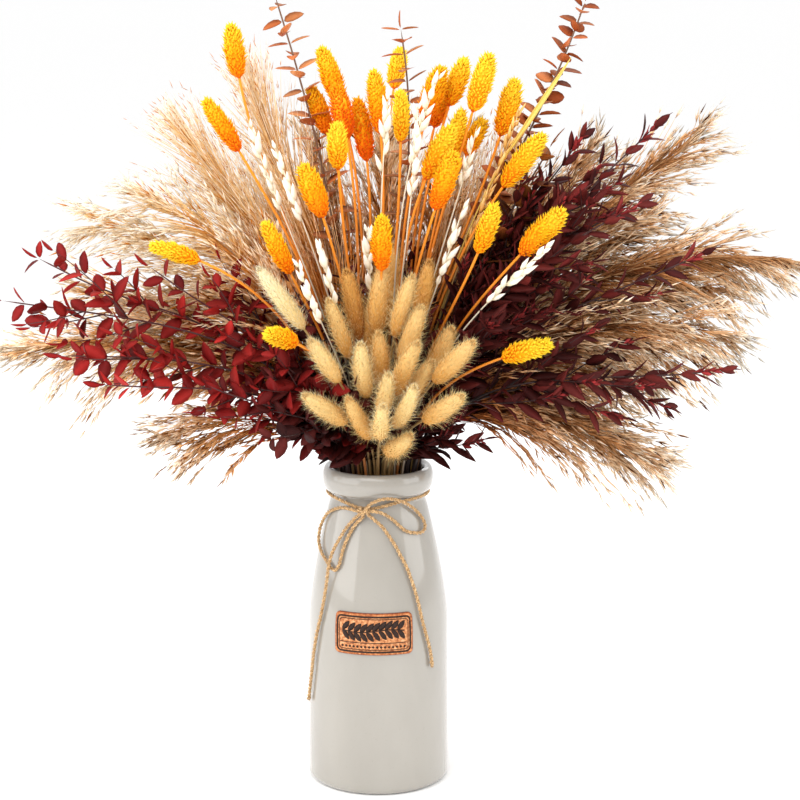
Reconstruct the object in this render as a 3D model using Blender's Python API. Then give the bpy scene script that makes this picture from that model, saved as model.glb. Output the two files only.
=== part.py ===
"""A bouquet of dried grasses in a glazed bottle vase, with one object for each stem.

+Z is up, the front faces -Y, and the origin is the centre of the vase's flat foot. Sizes are in
millimetres, and MM turns them into Blender's metres where a mesh is made.
"""

import collections
import math

import bmesh
import bpy
import numpy as np
from mathutils import Vector

MM = 0.001
TOUCH_GAP = 0.3  # between pieces that touch in the real object

# The vase: a milk-bottle outline, turned
VASE_SIDES = 24
BODY_RADIUS = 44.0
FOOT_ROUNDING = 3.4
SHOULDER_START = 104.0
SHOULDER_END = 180.0
SHOULDER_DROP = 14.2  # how much the radius shrinks from the body to the neck
SHOULDER_POWER = 1.4
NECK_CREASE = (29.2, 184.8)
RIM_CENTRE = (30.9, 192.6)
RIM_HALF_WIDTH = 3.6
RIM_HALF_HEIGHT = 7.4
RIM_SQUARENESS = 0.85
WALL = 4.0
FLOOR = 5.5
INNER_ROUNDING = 3.0
GLAZE_COLOUR = (0.62, 0.59, 0.55)

# The label: a leather patch that wraps round the front of the vase
LABEL_WIDTH = 49.0
LABEL_HEIGHT = 26.0
LABEL_THICKNESS = 1.3
LABEL_CORNER = 3.2
LABEL_TURN = math.radians(-3.4)
LABEL_MIDDLE = 104.0
LEATHER_COLOUR = (0.62, 0.28, 0.11)

# The twine: one turn round the neck, a knot, two bow loops and two tails
TWINE = 2.2  # diameter
KNOT_CENTRE = (-7.7, -35.2, 179.2)
KNOT_RADII = (3.5, 2.6, 3.3)
KNOT_DIP = 4.3  # how far the bow pulls the turn down at the front
KNOT_DIP_WIDTH = 0.5
WRAP_HEIGHT = 183.5
WRAP_SIDES = 4
CORD_STEP = 6.6
TWINE_COLOUR = (0.66, 0.42, 0.18)
BOW = {
    "twine_loop_left": [
        (-12.4, -33.6, 178.7), (-16.5, -30.0, 178.9), (-21.5, -24.3, 178.4), (-26.1, -19.4, 176.4),
        (-31.0, -13.2, 172.0), (-34.4, -8.4, 165.4), (-36.3, -8.6, 158.6), (-36.3, -12.3, 152.9),
        (-34.4, -18.4, 148.5), (-31.3, -24.6, 145.0), (-28.8, -28.3, 142.0), (-25.8, -31.4, 141.0),
        (-23.3, -32.4, 145.0), (-21.6, -31.7, 152.0), (-19.1, -31.4, 159.3), (-16.2, -31.6, 165.3),
        (-12.8, -32.2, 170.8), (-9.5, -34.3, 174.4),
    ],
    "twine_loop_right": [
        (-4.3, -36.0, 183.4), (-1.2, -37.2, 185.3), (3.0, -37.0, 186.6), (8.3, -35.8, 186.6),
        (13.8, -33.4, 184.8), (18.4, -29.0, 181.4), (22.6, -24.6, 177.2), (26.3, -21.3, 172.2),
        (28.6, -20.2, 167.6), (28.7, -21.7, 164.3), (26.3, -24.9, 162.8), (22.1, -28.5, 163.6),
        (17.5, -31.0, 165.3), (13.9, -32.1, 168.3), (9.8, -33.0, 172.4), (5.0, -34.2, 176.2),
        (0.8, -35.4, 178.2), (-2.7, -36.0, 178.9),
    ],
    "twine_tail_left": [
        (-11.7, -34.2, 176.0), (-15.0, -31.9, 172.4), (-19.0, -30.3, 167.2), (-22.6, -29.5, 161.2),
        (-26.0, -29.2, 155.0), (-28.4, -30.0, 149.3), (-29.9, -31.2, 143.6), (-30.7, -31.2, 137.5),
        (-31.6, -30.4, 130.5), (-33.1, -29.8, 121.0), (-35.1, -28.9, 110.5), (-37.6, -26.5, 99.0),
        (-39.8, -23.1, 85.0), (-41.3, -20.3, 71.0), (-42.6, -17.3, 60.0), (-43.3, -15.4, 53.0),
    ],
    "twine_tail_right": [
        (-4.4, -35.8, 175.6), (-1.2, -35.2, 172.7), (2.9, -35.2, 169.0), (7.0, -35.8, 163.4),
        (11.0, -36.2, 157.2), (14.0, -36.2, 151.3), (16.8, -36.2, 146.0), (19.2, -36.4, 140.0),
        (22.0, -36.6, 131.5), (24.8, -36.9, 121.3), (27.2, -36.8, 110.4), (29.6, -35.2, 100.8),
        (32.0, -33.0, 90.3), (33.3, -31.7, 80.0),
    ],
}

# The stems. Each row is a tip: x, y, z, and the lean of its last stretch, in degrees towards +X.
TIPS = {
    "plume": [
        (-84, 40, 442, -20), (-130, 45, 412, -38), (-150, 15, 370, -58), (-186, 30, 350, -84),
        (-228, 15, 266, -104), (-138, 5, 216, -104), (138, 45, 394, 40), (204, 40, 405, 50),
        (260, 20, 323, 100), (218, -5, 280, 108), (176, 5, 195, 124), (-69, 90, 374, -24),
        (6, 94, 408, 2), (92, 98, 367, 28),
    ],
    "parvifolia": [
        (-203, -20, 331, -58), (-226, -36, 286, -82), (-160, -72, 264, -82), (-134, -46, 330, -50),
        (164, -25, 410, 44), (122, -5, 402, 30), (192, -36, 336, 62), (151, -52, 366, 62),
        (201, -58, 270, 78),
    ],
    "eucalyptus": [(-62, 18, 486, -18), (14, 22, 465, -10), (124, 8, 481, 18)],
    "canary_grass": [
        (-86, -6, 466, -4), (-100, -26, 424, -34), (-34, 10, 452, -24), (-42, -52, 388, -22),
        (14, 128, 446, 12), (38, -10, 442, 20), (66, -20, 450, 16), (82, -4, 434, 12),
        (97, -30, 404, 40), (-129, -60, 343, -78), (107, -60, 363, 42), (99, -76, 288, 74),
    ],
    "bunny_tail": [
        (-68, -70, 332, -34), (4, -54, 332, 10), (21, -66, 327, 20), (-38, -86, 293, -30),
        (-9, -80, 290, 0), (24, -78, 290, 26), (56, -80, 291, 38), (-42, -82, 260, -48),
        (4, -97, 257, 4), (50, -84, 260, 44),
    ],
    "white_ear": [(-74, -36, 412, -16), (7, -42, 428, 6), (24, -50, 424, 2), (100, -76, 347, 46)],
}

# Each kind: radius of the stem, length and radius of the head, and the room that the head keeps
Kind = collections.namedtuple("Kind", "stem head width room colour")
KINDS = {
    "plume": Kind(1.3, 140.0, 14.0, 13.5, (0.56, 0.38, 0.22)),
    "parvifolia": Kind(1.2, 120.0, 0.0, 11.8, (0.22, 0.03, 0.04)),
    "eucalyptus": Kind(1.2, 110.0, 0.0, 11.0, (0.42, 0.17, 0.07)),
    "canary_grass": Kind(1.1, 36.0, 6.6, 6.8, (0.95, 0.42, 0.01)),
    "bunny_tail": Kind(1.0, 27.0, 7.2, 7.4, (0.80, 0.60, 0.32)),
    "white_ear": Kind(1.0, 46.0, 4.2, 4.4, (0.88, 0.80, 0.66)),
}
HEAD_RINGS = {
    # share along the head, share of the full width
    "canary_grass": [(0.05, 0.62), (0.24, 1.0), (0.52, 0.96), (0.80, 0.68)],
    "bunny_tail": [(0.04, 0.55), (0.22, 0.96), (0.50, 1.0), (0.80, 0.66)],
    "white_ear": [(0.08, 0.60), (0.30, 1.0), (0.62, 0.84), (0.86, 0.5)],
    "plume": [
        (0.05, 0.30), (0.16, 0.88), (0.21, 0.56), (0.37, 1.0), (0.42, 0.64), (0.60, 0.92),
        (0.65, 0.54), (0.84, 0.56),
    ],
}
STEM_SIDES = 3
HEAD_SIDES = 6
Leaves = collections.namedtuple("Leaves", "pairs length half_width")
LEAVES = {"parvifolia": Leaves(7, 13.0, 3.0), "eucalyptus": Leaves(5, 13.0, 4.4)}
LEAFY_TAPER = 0.4  # how much a leafy stem thins towards its tip
LEAF_SHRINK = 0.25  # how much shorter the last leaves are
LEAF_SLANT = math.radians(52)
LEAF_HALF_THICKNESS = 0.4
LEAF_FOOT = 2.4  # length of stem that a pair of leaves grows from

# How the stems stand in the vase
NODES_INSIDE = 6
NODES_ABOVE = 24
FEET_HEIGHT = 6.0
FEET_SPREAD = 1.25
MOUTH_HEIGHT = 198.0
MOUTH_INNER = 9.0  # the middle of the mouth stays open
MOUTH_OUTER = 23.0
MOUTH_SPACING = 3.5
MOUTH_ROUNDS = 400
MOUTH_PUSH = 0.35
RIM_STEP = 2.0  # how much further out a stem may be at its first node above the mouth
DEPTH_WEIGHT = 1.5  # a stem's place in the mouth follows its reach in depth this much more
RISE = (0.35, 0.45)  # how much of its way out, across and in depth, a stem takes at the mouth
ENDING_DEPTH = 0.6  # how much of its way out in depth a stem keeps at its tip
LEAVE_SHARE = 0.42  # how long a stem keeps the direction that it has at the mouth
ARRIVE_SHARE = 0.34  # how long it has the direction of its tip
CURVE_POINTS = 60
ROOM_GROWS = 0.12  # share of a head over which its room grows to the full room
PLUME_POINT = 0.2  # share of its room that a plume keeps at its tip
PLUME_NARROWS = 0.42  # share of a plume's head over which its room shrinks to that
CLEARANCE = 1.3  # between the skins of two settled stems
SETTLE_ROUNDS = 260
SETTLE_STEP = 1.6
SETTLED = 0.02  # the most that a settled stem still lacks of its room
CHORD_ERROR = 0.65  # how far a stem's straight lengths may stray from its curve


def vase_radius(z):
    """Outer radius of the vase at a height below the rim."""
    share = min(max((z - SHOULDER_START) / (SHOULDER_END - SHOULDER_START), 0.0), 1.0)
    return BODY_RADIUS - SHOULDER_DROP * share**SHOULDER_POWER


def material(name, colour, roughness):
    made = bpy.data.materials.new(name)
    made.use_nodes = True
    shader = made.node_tree.nodes["Principled BSDF"]
    shader.inputs["Base Color"].default_value = (*colour, 1.0)
    shader.inputs["Roughness"].default_value = roughness
    shader.inputs["Metallic"].default_value = 0.0
    made.diffuse_color = (*colour, 1.0)
    return made


def add_object(name, mesh, colour, roughness, place=(0.0, 0.0, 0.0)):
    mesh.materials.append(material(name, colour, roughness))
    made = bpy.data.objects.new(name, mesh)
    made.location = Vector(place) * MM
    bpy.context.scene.collection.objects.link(made)
    return made


def mesh_from(name, points, faces, smooth_angle=50):
    """A closed mesh whose points are in millimetres from its object's place."""
    mesh = bpy.data.meshes.new(name)
    mesh.from_pydata([tuple(float(value) * MM for value in point) for point in points], [], faces)
    work = bmesh.new()
    work.from_mesh(mesh)
    bmesh.ops.recalc_face_normals(work, faces=work.faces)
    work.to_mesh(mesh)
    work.free()
    mesh.shade_smooth()
    mesh.set_sharp_from_angle(angle=math.radians(smooth_angle))
    return mesh


def bridge(faces, lower, upper):
    """Faces between two rings. An upper ring with twice the points takes three triangles a side."""
    count = len(lower)
    for k in range(count):
        after = (k + 1) % count
        if len(upper) == count:
            faces.append((lower[k], lower[after], upper[after], upper[k]))
            continue
        last = (2 * k + 2) % len(upper)
        faces.append((lower[k], upper[2 * k + 1], upper[2 * k]))
        faces.append((lower[k], lower[after], upper[2 * k + 1]))
        faces.append((lower[after], upper[last], upper[2 * k + 1]))


# The vase, its label and its twine


def vase_outline():
    """(radius, height) from the middle of the foot, up the outside, over the rim and down inside."""
    outside = []
    for turn in (0.0, math.pi / 4, math.pi / 2):
        across = BODY_RADIUS - FOOT_ROUNDING * (1 - math.sin(turn))
        outside.append((across, FOOT_ROUNDING * (1 - math.cos(turn))))
    heights = [SHOULDER_START + (SHOULDER_END - SHOULDER_START) * k / 4 for k in range(5)]
    outside += [(vase_radius(z), z) for z in heights]
    rim = []
    for degrees in range(-65, 176, 40):
        across = math.cos(math.radians(degrees))
        squared = math.copysign(abs(across) ** RIM_SQUARENESS, across)
        up = math.sin(math.radians(degrees))
        rim.append((RIM_CENTRE[0] + RIM_HALF_WIDTH * squared, RIM_CENTRE[1] + RIM_HALF_HEIGHT * up))
    inside = [(vase_radius(z) - WALL, z) for z in reversed(heights[::2])]
    inside += [
        (BODY_RADIUS - WALL, FLOOR + INNER_ROUNDING),
        (BODY_RADIUS - WALL - INNER_ROUNDING, FLOOR),
    ]
    return outside + [NECK_CREASE] + rim + inside


def make_vase():
    outline = vase_outline()
    points = [(0.0, 0.0, 0.0)]
    rings = []
    for radius, height in outline:
        rings.append(range(len(points), len(points) + VASE_SIDES))
        for k in range(VASE_SIDES):
            turn = math.tau * k / VASE_SIDES
            points.append((radius * math.cos(turn), radius * math.sin(turn), height))
    points.append((0.0, 0.0, FLOOR))
    faces = []
    for lower, upper in zip(rings, rings[1:]):
        bridge(faces, lower, upper)
    for k in range(VASE_SIDES):
        after = (k + 1) % VASE_SIDES
        faces.append((0, rings[0][after], rings[0][k]))
        faces.append((len(points) - 1, rings[-1][k], rings[-1][after]))
    add_object("vase", mesh_from("vase", points, faces), GLAZE_COLOUR, 0.16)


def label_columns():
    """(distance round the vase, half height) of each column of points, with rounded corners."""
    reach = LABEL_WIDTH / 2
    middle = [(reach - LABEL_CORNER) * (k / 3.5 - 1) for k in range(8)]
    half = LABEL_HEIGHT / 2
    bend = LABEL_CORNER * (1 - math.sqrt(0.5))
    left = [(-reach, half - LABEL_CORNER), (-reach + bend, half - bend)]
    right = [(-along, high) for along, high in reversed(left)]
    return left + [(along, half) for along in middle] + right


def make_label():
    columns = label_columns()
    points = []
    for off in (TOUCH_GAP, TOUCH_GAP + LABEL_THICKNESS):
        for along, half in columns:
            turn = LABEL_TURN + along / BODY_RADIUS
            for height in (-half, 0.0, half):
                radius = vase_radius(LABEL_MIDDLE + height) + off
                points.append((radius * math.sin(turn), -radius * math.cos(turn), height))
    count = len(columns)
    back = np.arange(3 * count).reshape(count, 3)
    front = back + 3 * count
    faces = []
    for sheet in (back, front):
        for k in range(count - 1):
            for row in range(2):
                faces.append((sheet[k, row], sheet[k + 1, row], sheet[k + 1, row + 1], sheet[k, row + 1]))
    edge = [(k, 0) for k in range(count)] + [(count - 1, 1)]
    edge += [(k, 2) for k in reversed(range(count))] + [(0, 1)]
    for here, after in zip(edge, edge[1:] + edge[:1]):
        faces.append((back[here], back[after], front[after], front[here]))
    faces = [tuple(int(corner) for corner in face) for face in faces]
    mesh = mesh_from("label", points, faces)
    add_object("label", mesh, LEATHER_COLOUR, 0.6, (0.0, 0.0, LABEL_MIDDLE))


def make_wrap():
    """One turn of twine in the crease under the rim, pulled down a little where the knot is."""
    knot_turn = math.atan2(KNOT_CENTRE[1], KNOT_CENTRE[0])
    points = []
    rings = []
    for k in range(VASE_SIDES):
        turn = math.tau * k / VASE_SIDES
        from_knot = (turn - knot_turn + math.pi) % math.tau - math.pi
        height = WRAP_HEIGHT - KNOT_DIP * math.exp(-((from_knot / KNOT_DIP_WIDTH) ** 2))
        radius = vase_radius(height - TWINE / 2) + TOUCH_GAP + TWINE / 2
        rings.append(range(len(points), len(points) + WRAP_SIDES))
        for side in range(WRAP_SIDES):
            around = math.tau * side / WRAP_SIDES
            across = radius + TWINE / 2 * math.cos(around)
            up = height + TWINE / 2 * math.sin(around)
            points.append((across * math.cos(turn), across * math.sin(turn), up))
    faces = []
    for k in range(VASE_SIDES):
        bridge(faces, rings[k], rings[(k + 1) % VASE_SIDES])
    add_object("twine_wrap", mesh_from("twine_wrap", points, faces, 80), TWINE_COLOUR, 0.9)


def make_knot():
    work = bmesh.new()
    bmesh.ops.create_icosphere(work, subdivisions=2, radius=1.0)
    bmesh.ops.scale(work, vec=Vector(KNOT_RADII) * MM, verts=work.verts)
    mesh = bpy.data.meshes.new("twine_knot")
    work.to_mesh(mesh)
    work.free()
    mesh.shade_smooth()
    add_object("twine_knot", mesh, TWINE_COLOUR, 0.9, KNOT_CENTRE)


def smooth_curve(route, step):
    """Points about a step apart on a Catmull-Rom curve through a route."""
    route = np.array(route, float)
    padded = np.vstack([2 * route[0] - route[1], route, 2 * route[-1] - route[-2]])
    dense = []
    for before, start, end, after in zip(padded, padded[1:], padded[2:], padded[3:]):
        for t in np.arange(0.0, 1.0, 0.1):
            dense.append(
                0.5 * (2 * start + (end - before) * t
                       + (2 * before - 5 * start + 4 * end - after) * t**2
                       + (3 * start - before - 3 * end + after) * t**3)
            )
    return resample(np.array(dense + [route[-1]]), step=step)


def resample(line, step=None, count=None):
    """Evenly spaced points along a line."""
    lengths = np.linalg.norm(np.diff(line, axis=0), axis=1)
    along = np.concatenate([[0.0], np.cumsum(lengths)])
    count = count or max(2, round(along[-1] / step) + 1)
    wanted = np.linspace(0.0, along[-1], count)
    return np.stack([np.interp(wanted, along, line[:, axis]) for axis in range(3)], axis=1)


def make_cord(name, route):
    points = smooth_curve(route, CORD_STEP)
    curve = bpy.data.curves.new(name, "CURVE")
    curve.dimensions = "3D"
    curve.bevel_depth = TWINE / 2 * MM
    curve.bevel_resolution = 2
    curve.use_fill_caps = True
    spline = curve.splines.new("POLY")
    spline.points.add(len(points) - 1)
    for slot, point in zip(spline.points, points):
        slot.co = (*(point * MM), 1.0)
    curve.materials.append(material(name, TWINE_COLOUR, 0.9))
    made = bpy.data.objects.new(name, curve)
    bpy.context.scene.collection.objects.link(made)


# The stems' lines


def mouth_spots(tips):
    """Where each stem passes the mouth: the further it leans out, the nearer it is to the rim."""
    reach = tips[:, :2] * (1.0, DEPTH_WEIGHT)
    turns = np.arctan2(reach[:, 1], reach[:, 0])
    ranks = np.argsort(np.argsort(np.linalg.norm(reach, axis=1))) / (len(tips) - 1)
    radii = np.sqrt(MOUTH_INNER**2 + (MOUTH_OUTER**2 - MOUTH_INNER**2) * ranks)
    spots = np.stack([radii * np.cos(turns), radii * np.sin(turns)], axis=1)
    for _ in range(MOUTH_ROUNDS):
        apart = spots[:, None] - spots[None]
        distance = np.linalg.norm(apart, axis=2) + np.eye(len(spots)) * 1e3
        push = np.clip(MOUTH_SPACING - distance, 0.0, None) / distance
        spots = spots + MOUTH_PUSH * (apart * push[:, :, None]).sum(axis=1)
        radii = np.linalg.norm(spots, axis=1)
        spots *= (np.clip(radii, MOUTH_INNER, MOUTH_OUTER) / radii)[:, None]
    return spots


def bezier(start, leave, arrive, end, count):
    t = np.linspace(0.0, 1.0, count)[:, None]
    return (1 - t) ** 3 * start + 3 * (1 - t) ** 2 * t * leave + 3 * (1 - t) * t**2 * arrive + t**3 * end


def stem_line(tip, lean, spot):
    """Straight from the vase's floor to the mouth, then one bend out to the tip."""
    mouth = np.array([*spot, MOUTH_HEIGHT])
    foot = np.array([*(spot * FEET_SPREAD), FEET_HEIGHT])
    inside = np.linspace(foot, mouth, NODES_INSIDE, endpoint=False)
    reach = np.linalg.norm(tip - mouth)
    out = (tip - mouth) / reach
    rise = np.array([RISE[0] * out[0], RISE[1] * out[1], 1.0])
    ending = np.array([math.sin(lean), ENDING_DEPTH * out[1], math.cos(lean)])
    leave = mouth + LEAVE_SHARE * reach * rise / np.linalg.norm(rise)
    arrive = tip - ARRIVE_SHARE * reach * ending / np.linalg.norm(ending)
    above = resample(bezier(mouth, leave, arrive, tip, CURVE_POINTS), count=NODES_ABOVE)
    return np.vstack([inside, above])


def room_along(line, kind):
    """The room that a stem needs at each of its nodes."""
    look = KINDS[kind]
    lengths = np.linalg.norm(np.diff(line, axis=0), axis=1)
    to_tip = np.concatenate([np.cumsum(lengths[::-1])[::-1], [0.0]])
    spread = look.room * np.clip((look.head - to_tip) / (ROOM_GROWS * look.head), 0.0, 1.0)
    if kind == "plume":
        spread = spread * np.clip(PLUME_POINT + to_tip / (PLUME_NARROWS * look.head), 0.0, 1.0)
    return np.maximum(look.stem, spread)


def nearest_on_segments(starts_a, ends_a, starts_b, ends_b):
    """For pairs of segments, where along each the two are nearest, as shares from 0 to 1."""
    along_a = ends_a - starts_a
    along_b = ends_b - starts_b
    between = starts_a - starts_b
    aa = (along_a**2).sum(axis=1) + 1e-9
    bb = (along_b**2).sum(axis=1) + 1e-9
    ab = (along_a * along_b).sum(axis=1)
    a_between = (along_a * between).sum(axis=1)
    b_between = (along_b * between).sum(axis=1)
    denominator = aa * bb - ab**2
    crossing = np.where(denominator > 1e-6, ab * b_between - bb * a_between, 0.5 * denominator)
    share_a = np.clip(crossing / np.maximum(denominator, 1e-6), 0.0, 1.0)
    share_b = np.clip((ab * share_a + b_between) / bb, 0.0, 1.0)
    share_a = np.clip((ab * share_b - a_between) / aa, 0.0, 1.0)
    return share_a, share_b


def pushes(lines, rooms):
    """How far each node has to move so that no two stems come nearer than their room allows."""
    stems, nodes, _ = lines.shape
    first = np.arange(stems * nodes).reshape(stems, nodes)[:, :-1].ravel()
    owner = np.repeat(np.arange(stems), nodes - 1)
    flat = lines.reshape(-1, 3)
    room = rooms.reshape(-1)
    middles = (flat[first] + flat[first + 1]) / 2
    halves = np.linalg.norm(flat[first + 1] - flat[first], axis=1) / 2
    widths = np.maximum(room[first], room[first + 1])
    near = halves + widths + CLEARANCE / 2
    squares = (middles**2).sum(axis=1)
    apart = squares[:, None] + squares[None] - 2 * middles @ middles.T
    close = apart < (near[:, None] + near[None]) ** 2
    one, two = np.nonzero(np.triu(close & (owner[:, None] != owner[None])))
    a, b = first[one], first[two]
    share_a, share_b = nearest_on_segments(flat[a], flat[a + 1], flat[b], flat[b + 1])
    at_a = flat[a] + share_a[:, None] * (flat[a + 1] - flat[a])
    at_b = flat[b] + share_b[:, None] * (flat[b + 1] - flat[b])
    room_a = room[a] + share_a * (room[a + 1] - room[a])
    room_b = room[b] + share_b * (room[b + 1] - room[b])
    away = at_a - at_b
    distance = np.linalg.norm(away, axis=1)
    short = np.clip(room_a + room_b + CLEARANCE - distance, 0.0, None)
    move = away / np.maximum(distance, 1e-6)[:, None] * (short / 2)[:, None]
    moved = np.zeros_like(flat)
    weight = np.full(len(flat), 1e-6)
    for nodes_at, share, step in ((a, share_a, move), (b, share_b, -move)):
        for offset, part in ((0, 1 - share), (1, share)):
            np.add.at(moved, nodes_at + offset, step * part[:, None])
            np.add.at(weight, nodes_at + offset, np.where(short > 0, part, 0.0))
    moved /= np.maximum(weight, 1.0)[:, None]
    return moved.reshape(lines.shape), float(short.max(initial=0.0))


def keep_in_vase(lines):
    """Holds the lower nodes inside the vase and off its open middle."""
    lower = lines[:, : NODES_INSIDE + 1]
    radii = np.linalg.norm(lower[:, :, :2], axis=2)
    rise = (lower[:, :, 2] - FEET_HEIGHT) / (MOUTH_HEIGHT - FEET_HEIGHT)
    most = MOUTH_OUTER * (FEET_SPREAD + (1.0 - FEET_SPREAD) * rise)
    lower[:, :, :2] *= (np.clip(radii, MOUTH_INNER, most) / radii)[:, :, None]
    lower[:, 0, 2] = FEET_HEIGHT
    lower[:, NODES_INSIDE, 2] = MOUTH_HEIGHT
    over_rim = lines[:, NODES_INSIDE + 1, :2]
    over_rim *= np.minimum(1.0, (MOUTH_OUTER + RIM_STEP) / np.linalg.norm(over_rim, axis=1))[:, None]


def settle(lines, rooms):
    """Moves the stems apart, as stems do when they are pushed into one vase."""
    for _ in range(SETTLE_ROUNDS):
        moved, shortfall = pushes(lines, rooms)
        if shortfall < SETTLED:
            break
        for _ in range(2):
            moved[:, 1:-1] = (moved[:, :-2] + 2.0 * moved[:, 1:-1] + moved[:, 2:]) / 4
        lines = lines + SETTLE_STEP * moved
        keep_in_vase(lines)
    return lines


def settled_stems():
    """(kind, line) of every stem, in the order of TIPS."""
    kinds = [kind for kind, tips in TIPS.items() for _ in tips]
    rows = np.array([tip for tips in TIPS.values() for tip in tips], float)
    spots = mouth_spots(rows[:, :3])
    leans = np.radians(rows[:, 3])
    lines = [stem_line(tip, lean, spot) for tip, lean, spot in zip(rows[:, :3], leans, spots)]
    rooms = np.array([room_along(line, kind) for line, kind in zip(lines, kinds)])
    return list(zip(kinds, settle(np.array(lines), rooms)))


# The stems' solids


def straightened(line, error):
    """The fewest of a line's points that keep it within an error of its curve."""
    if len(line) < 3:
        return line
    chord = line[-1] - line[0]
    chord = chord / np.linalg.norm(chord)
    off = line - line[0]
    off = off - (off @ chord)[:, None] * chord
    stray = np.linalg.norm(off, axis=1)
    worst = int(stray.argmax())
    if stray[worst] < error:
        return line[[0, -1]]
    return np.vstack([straightened(line[: worst + 1], error)[:-1], straightened(line[worst:], error)])


def point_at(line, along, distance):
    return np.array([np.interp(distance, along, line[:, axis]) for axis in range(3)])


def frames(centres):
    """A tangent and two square directions at each centre, turned as little as possible."""
    tangents = np.gradient(centres, axis=0)
    tangents /= np.linalg.norm(tangents, axis=1)[:, None]
    side = np.cross(tangents[0], (0.0, 1.0, 0.0))
    found = []
    for tangent in tangents:
        side = side - tangent * (side @ tangent)
        side /= np.linalg.norm(side)
        found.append((tangent, side, np.cross(tangent, side)))
    return found


def ring_points(centre, frame, radius, sides, turn=0.0):
    _, side, other = frame
    angles = [turn + math.tau * k / sides for k in range(sides)]
    return [centre + radius * (math.cos(a) * side + math.sin(a) * other) for a in angles]


def split_line(line, head):
    """The stem's own points below the head, and the distance along the line where the head starts."""
    lengths = np.linalg.norm(np.diff(line, axis=0), axis=1)
    along = np.concatenate([[0.0], np.cumsum(lengths)])
    start = along[-1] - head
    below = np.vstack([line[along < start - 1.0], point_at(line, along, start)])
    return straightened(below, CHORD_ERROR), along, start


def make_head_stem(name, kind, line):
    """A slim stem that widens into a head with a point at its end."""
    look = KINDS[kind]
    below, along, start = split_line(line, look.head)
    heights = [start + share * look.head for share, _ in HEAD_RINGS[kind]]
    centres = np.vstack([below] + [point_at(line, along, height) for height in heights] + [line[-1]])
    axes = frames(centres)
    points = []
    rings = []
    for k, centre in enumerate(centres[:-1]):
        in_head = k - len(below)
        sides = STEM_SIDES if in_head < 0 else HEAD_SIDES
        radius = look.stem if in_head < 0 else look.width * HEAD_RINGS[kind][in_head][1]
        rings.append(range(len(points), len(points) + sides))
        points += ring_points(centre, axes[k], radius, sides)
    points.append(centres[-1])
    faces = [tuple(rings[0])]
    for lower, upper in zip(rings, rings[1:]):
        bridge(faces, lower, upper)
    top = rings[-1]
    faces += [(top[k], top[(k + 1) % HEAD_SIDES], len(points) - 1) for k in range(HEAD_SIDES)]
    add_stem(name, points, faces, look.colour)


def add_stem(name, points, faces, colour):
    place = np.mean(points[:STEM_SIDES], axis=0)
    mesh = mesh_from(name, np.array(points) - place, faces, 75)
    add_object(name, mesh, colour, 0.85, place)


def make_leafy_stem(name, kind, line):
    """A slim stem whose upper part carries pairs of leaves."""
    look = KINDS[kind]
    leaves = LEAVES[kind]
    below, along, start = split_line(line, look.head)
    reach = along[-1] - leaves.length - start
    heights = []
    for pair in range(leaves.pairs):
        foot = start + reach * (pair + 0.5) / leaves.pairs
        heights += [foot - LEAF_FOOT / 2, foot + LEAF_FOOT / 2]
    centres = np.vstack([below] + [point_at(line, along, height) for height in heights])
    axes = frames(centres)
    points = []
    rings = []
    for k, centre in enumerate(centres):
        rings.append(range(len(points), len(points) + STEM_SIDES))
        leafy = max(0, k - len(below)) / (2 * leaves.pairs)
        points += ring_points(centre, axes[k], look.stem * (1.0 - LEAFY_TAPER * leafy), STEM_SIDES)
    tip = len(points)
    points.append(line[-1])
    faces = [tuple(rings[0])]
    for k, (lower, upper) in enumerate(zip(rings, rings[1:])):
        pair, within = divmod(k - len(below), 2)
        bearing = (pair % STEM_SIDES, (pair + 1) % STEM_SIDES)
        if k < len(below) or within:
            bearing = ()
        for face in range(STEM_SIDES):
            after = (face + 1) % STEM_SIDES
            corners = (lower[face], lower[after], upper[after], upper[face])
            if face in bearing:
                grown = leaves.length * (1.0 - LEAF_SHRINK * pair / leaves.pairs)
                add_leaf(points, faces, corners, axes[k], grown, leaves.half_width)
            else:
                faces.append(corners)
    top = rings[-1]
    faces += [(top[k], top[(k + 1) % STEM_SIDES], tip) for k in range(STEM_SIDES)]
    add_stem(name, points, faces, look.colour)


def add_leaf(points, faces, corners, frame, length, half_width):
    """A thin, pointed leaf that grows from the four corners of one face of its stem."""
    tangent, _, _ = frame
    foot = np.mean([points[corner] for corner in corners], axis=0)
    side = points[corners[1]] - points[corners[0]]
    side = side / np.linalg.norm(side)
    out = np.cross(side, tangent)
    grow = math.sin(LEAF_SLANT) * out + math.cos(LEAF_SLANT) * tangent
    thick = np.cross(grow, side)
    centre = foot + 0.5 * length * grow
    start = len(points)
    for across, over in ((-1, -1), (1, -1), (1, 1), (-1, 1)):
        points.append(centre + across * LEAF_HALF_THICKNESS * side + over * half_width * thick)
    points.append(foot + length * grow)
    for k in range(4):
        after = (k + 1) % 4
        faces.append((corners[k], corners[after], start + after, start + k))
        faces.append((start + k, start + after, start + 4))


def main():
    for old in list(bpy.data.objects):
        bpy.data.objects.remove(old)
    make_vase()
    make_label()
    make_wrap()
    make_knot()
    for name, route in BOW.items():
        make_cord(name, route)
    counts = dict.fromkeys(TIPS, 0)
    for kind, line in settled_stems():
        counts[kind] += 1
        make = make_leafy_stem if kind in LEAVES else make_head_stem
        make(f"{kind}_{counts[kind]:02d}", kind, line)


main()
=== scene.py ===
"""The looks of a vase of dried grasses: glazed bottle, leather label, twine bow and every stem.

Sizes are in millimetres until a mesh is made, when MM turns them into metres. +Z is up and the
front faces -Y. Each stem of the frame is dressed along the middle line of its own solid.
"""
import math

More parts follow.
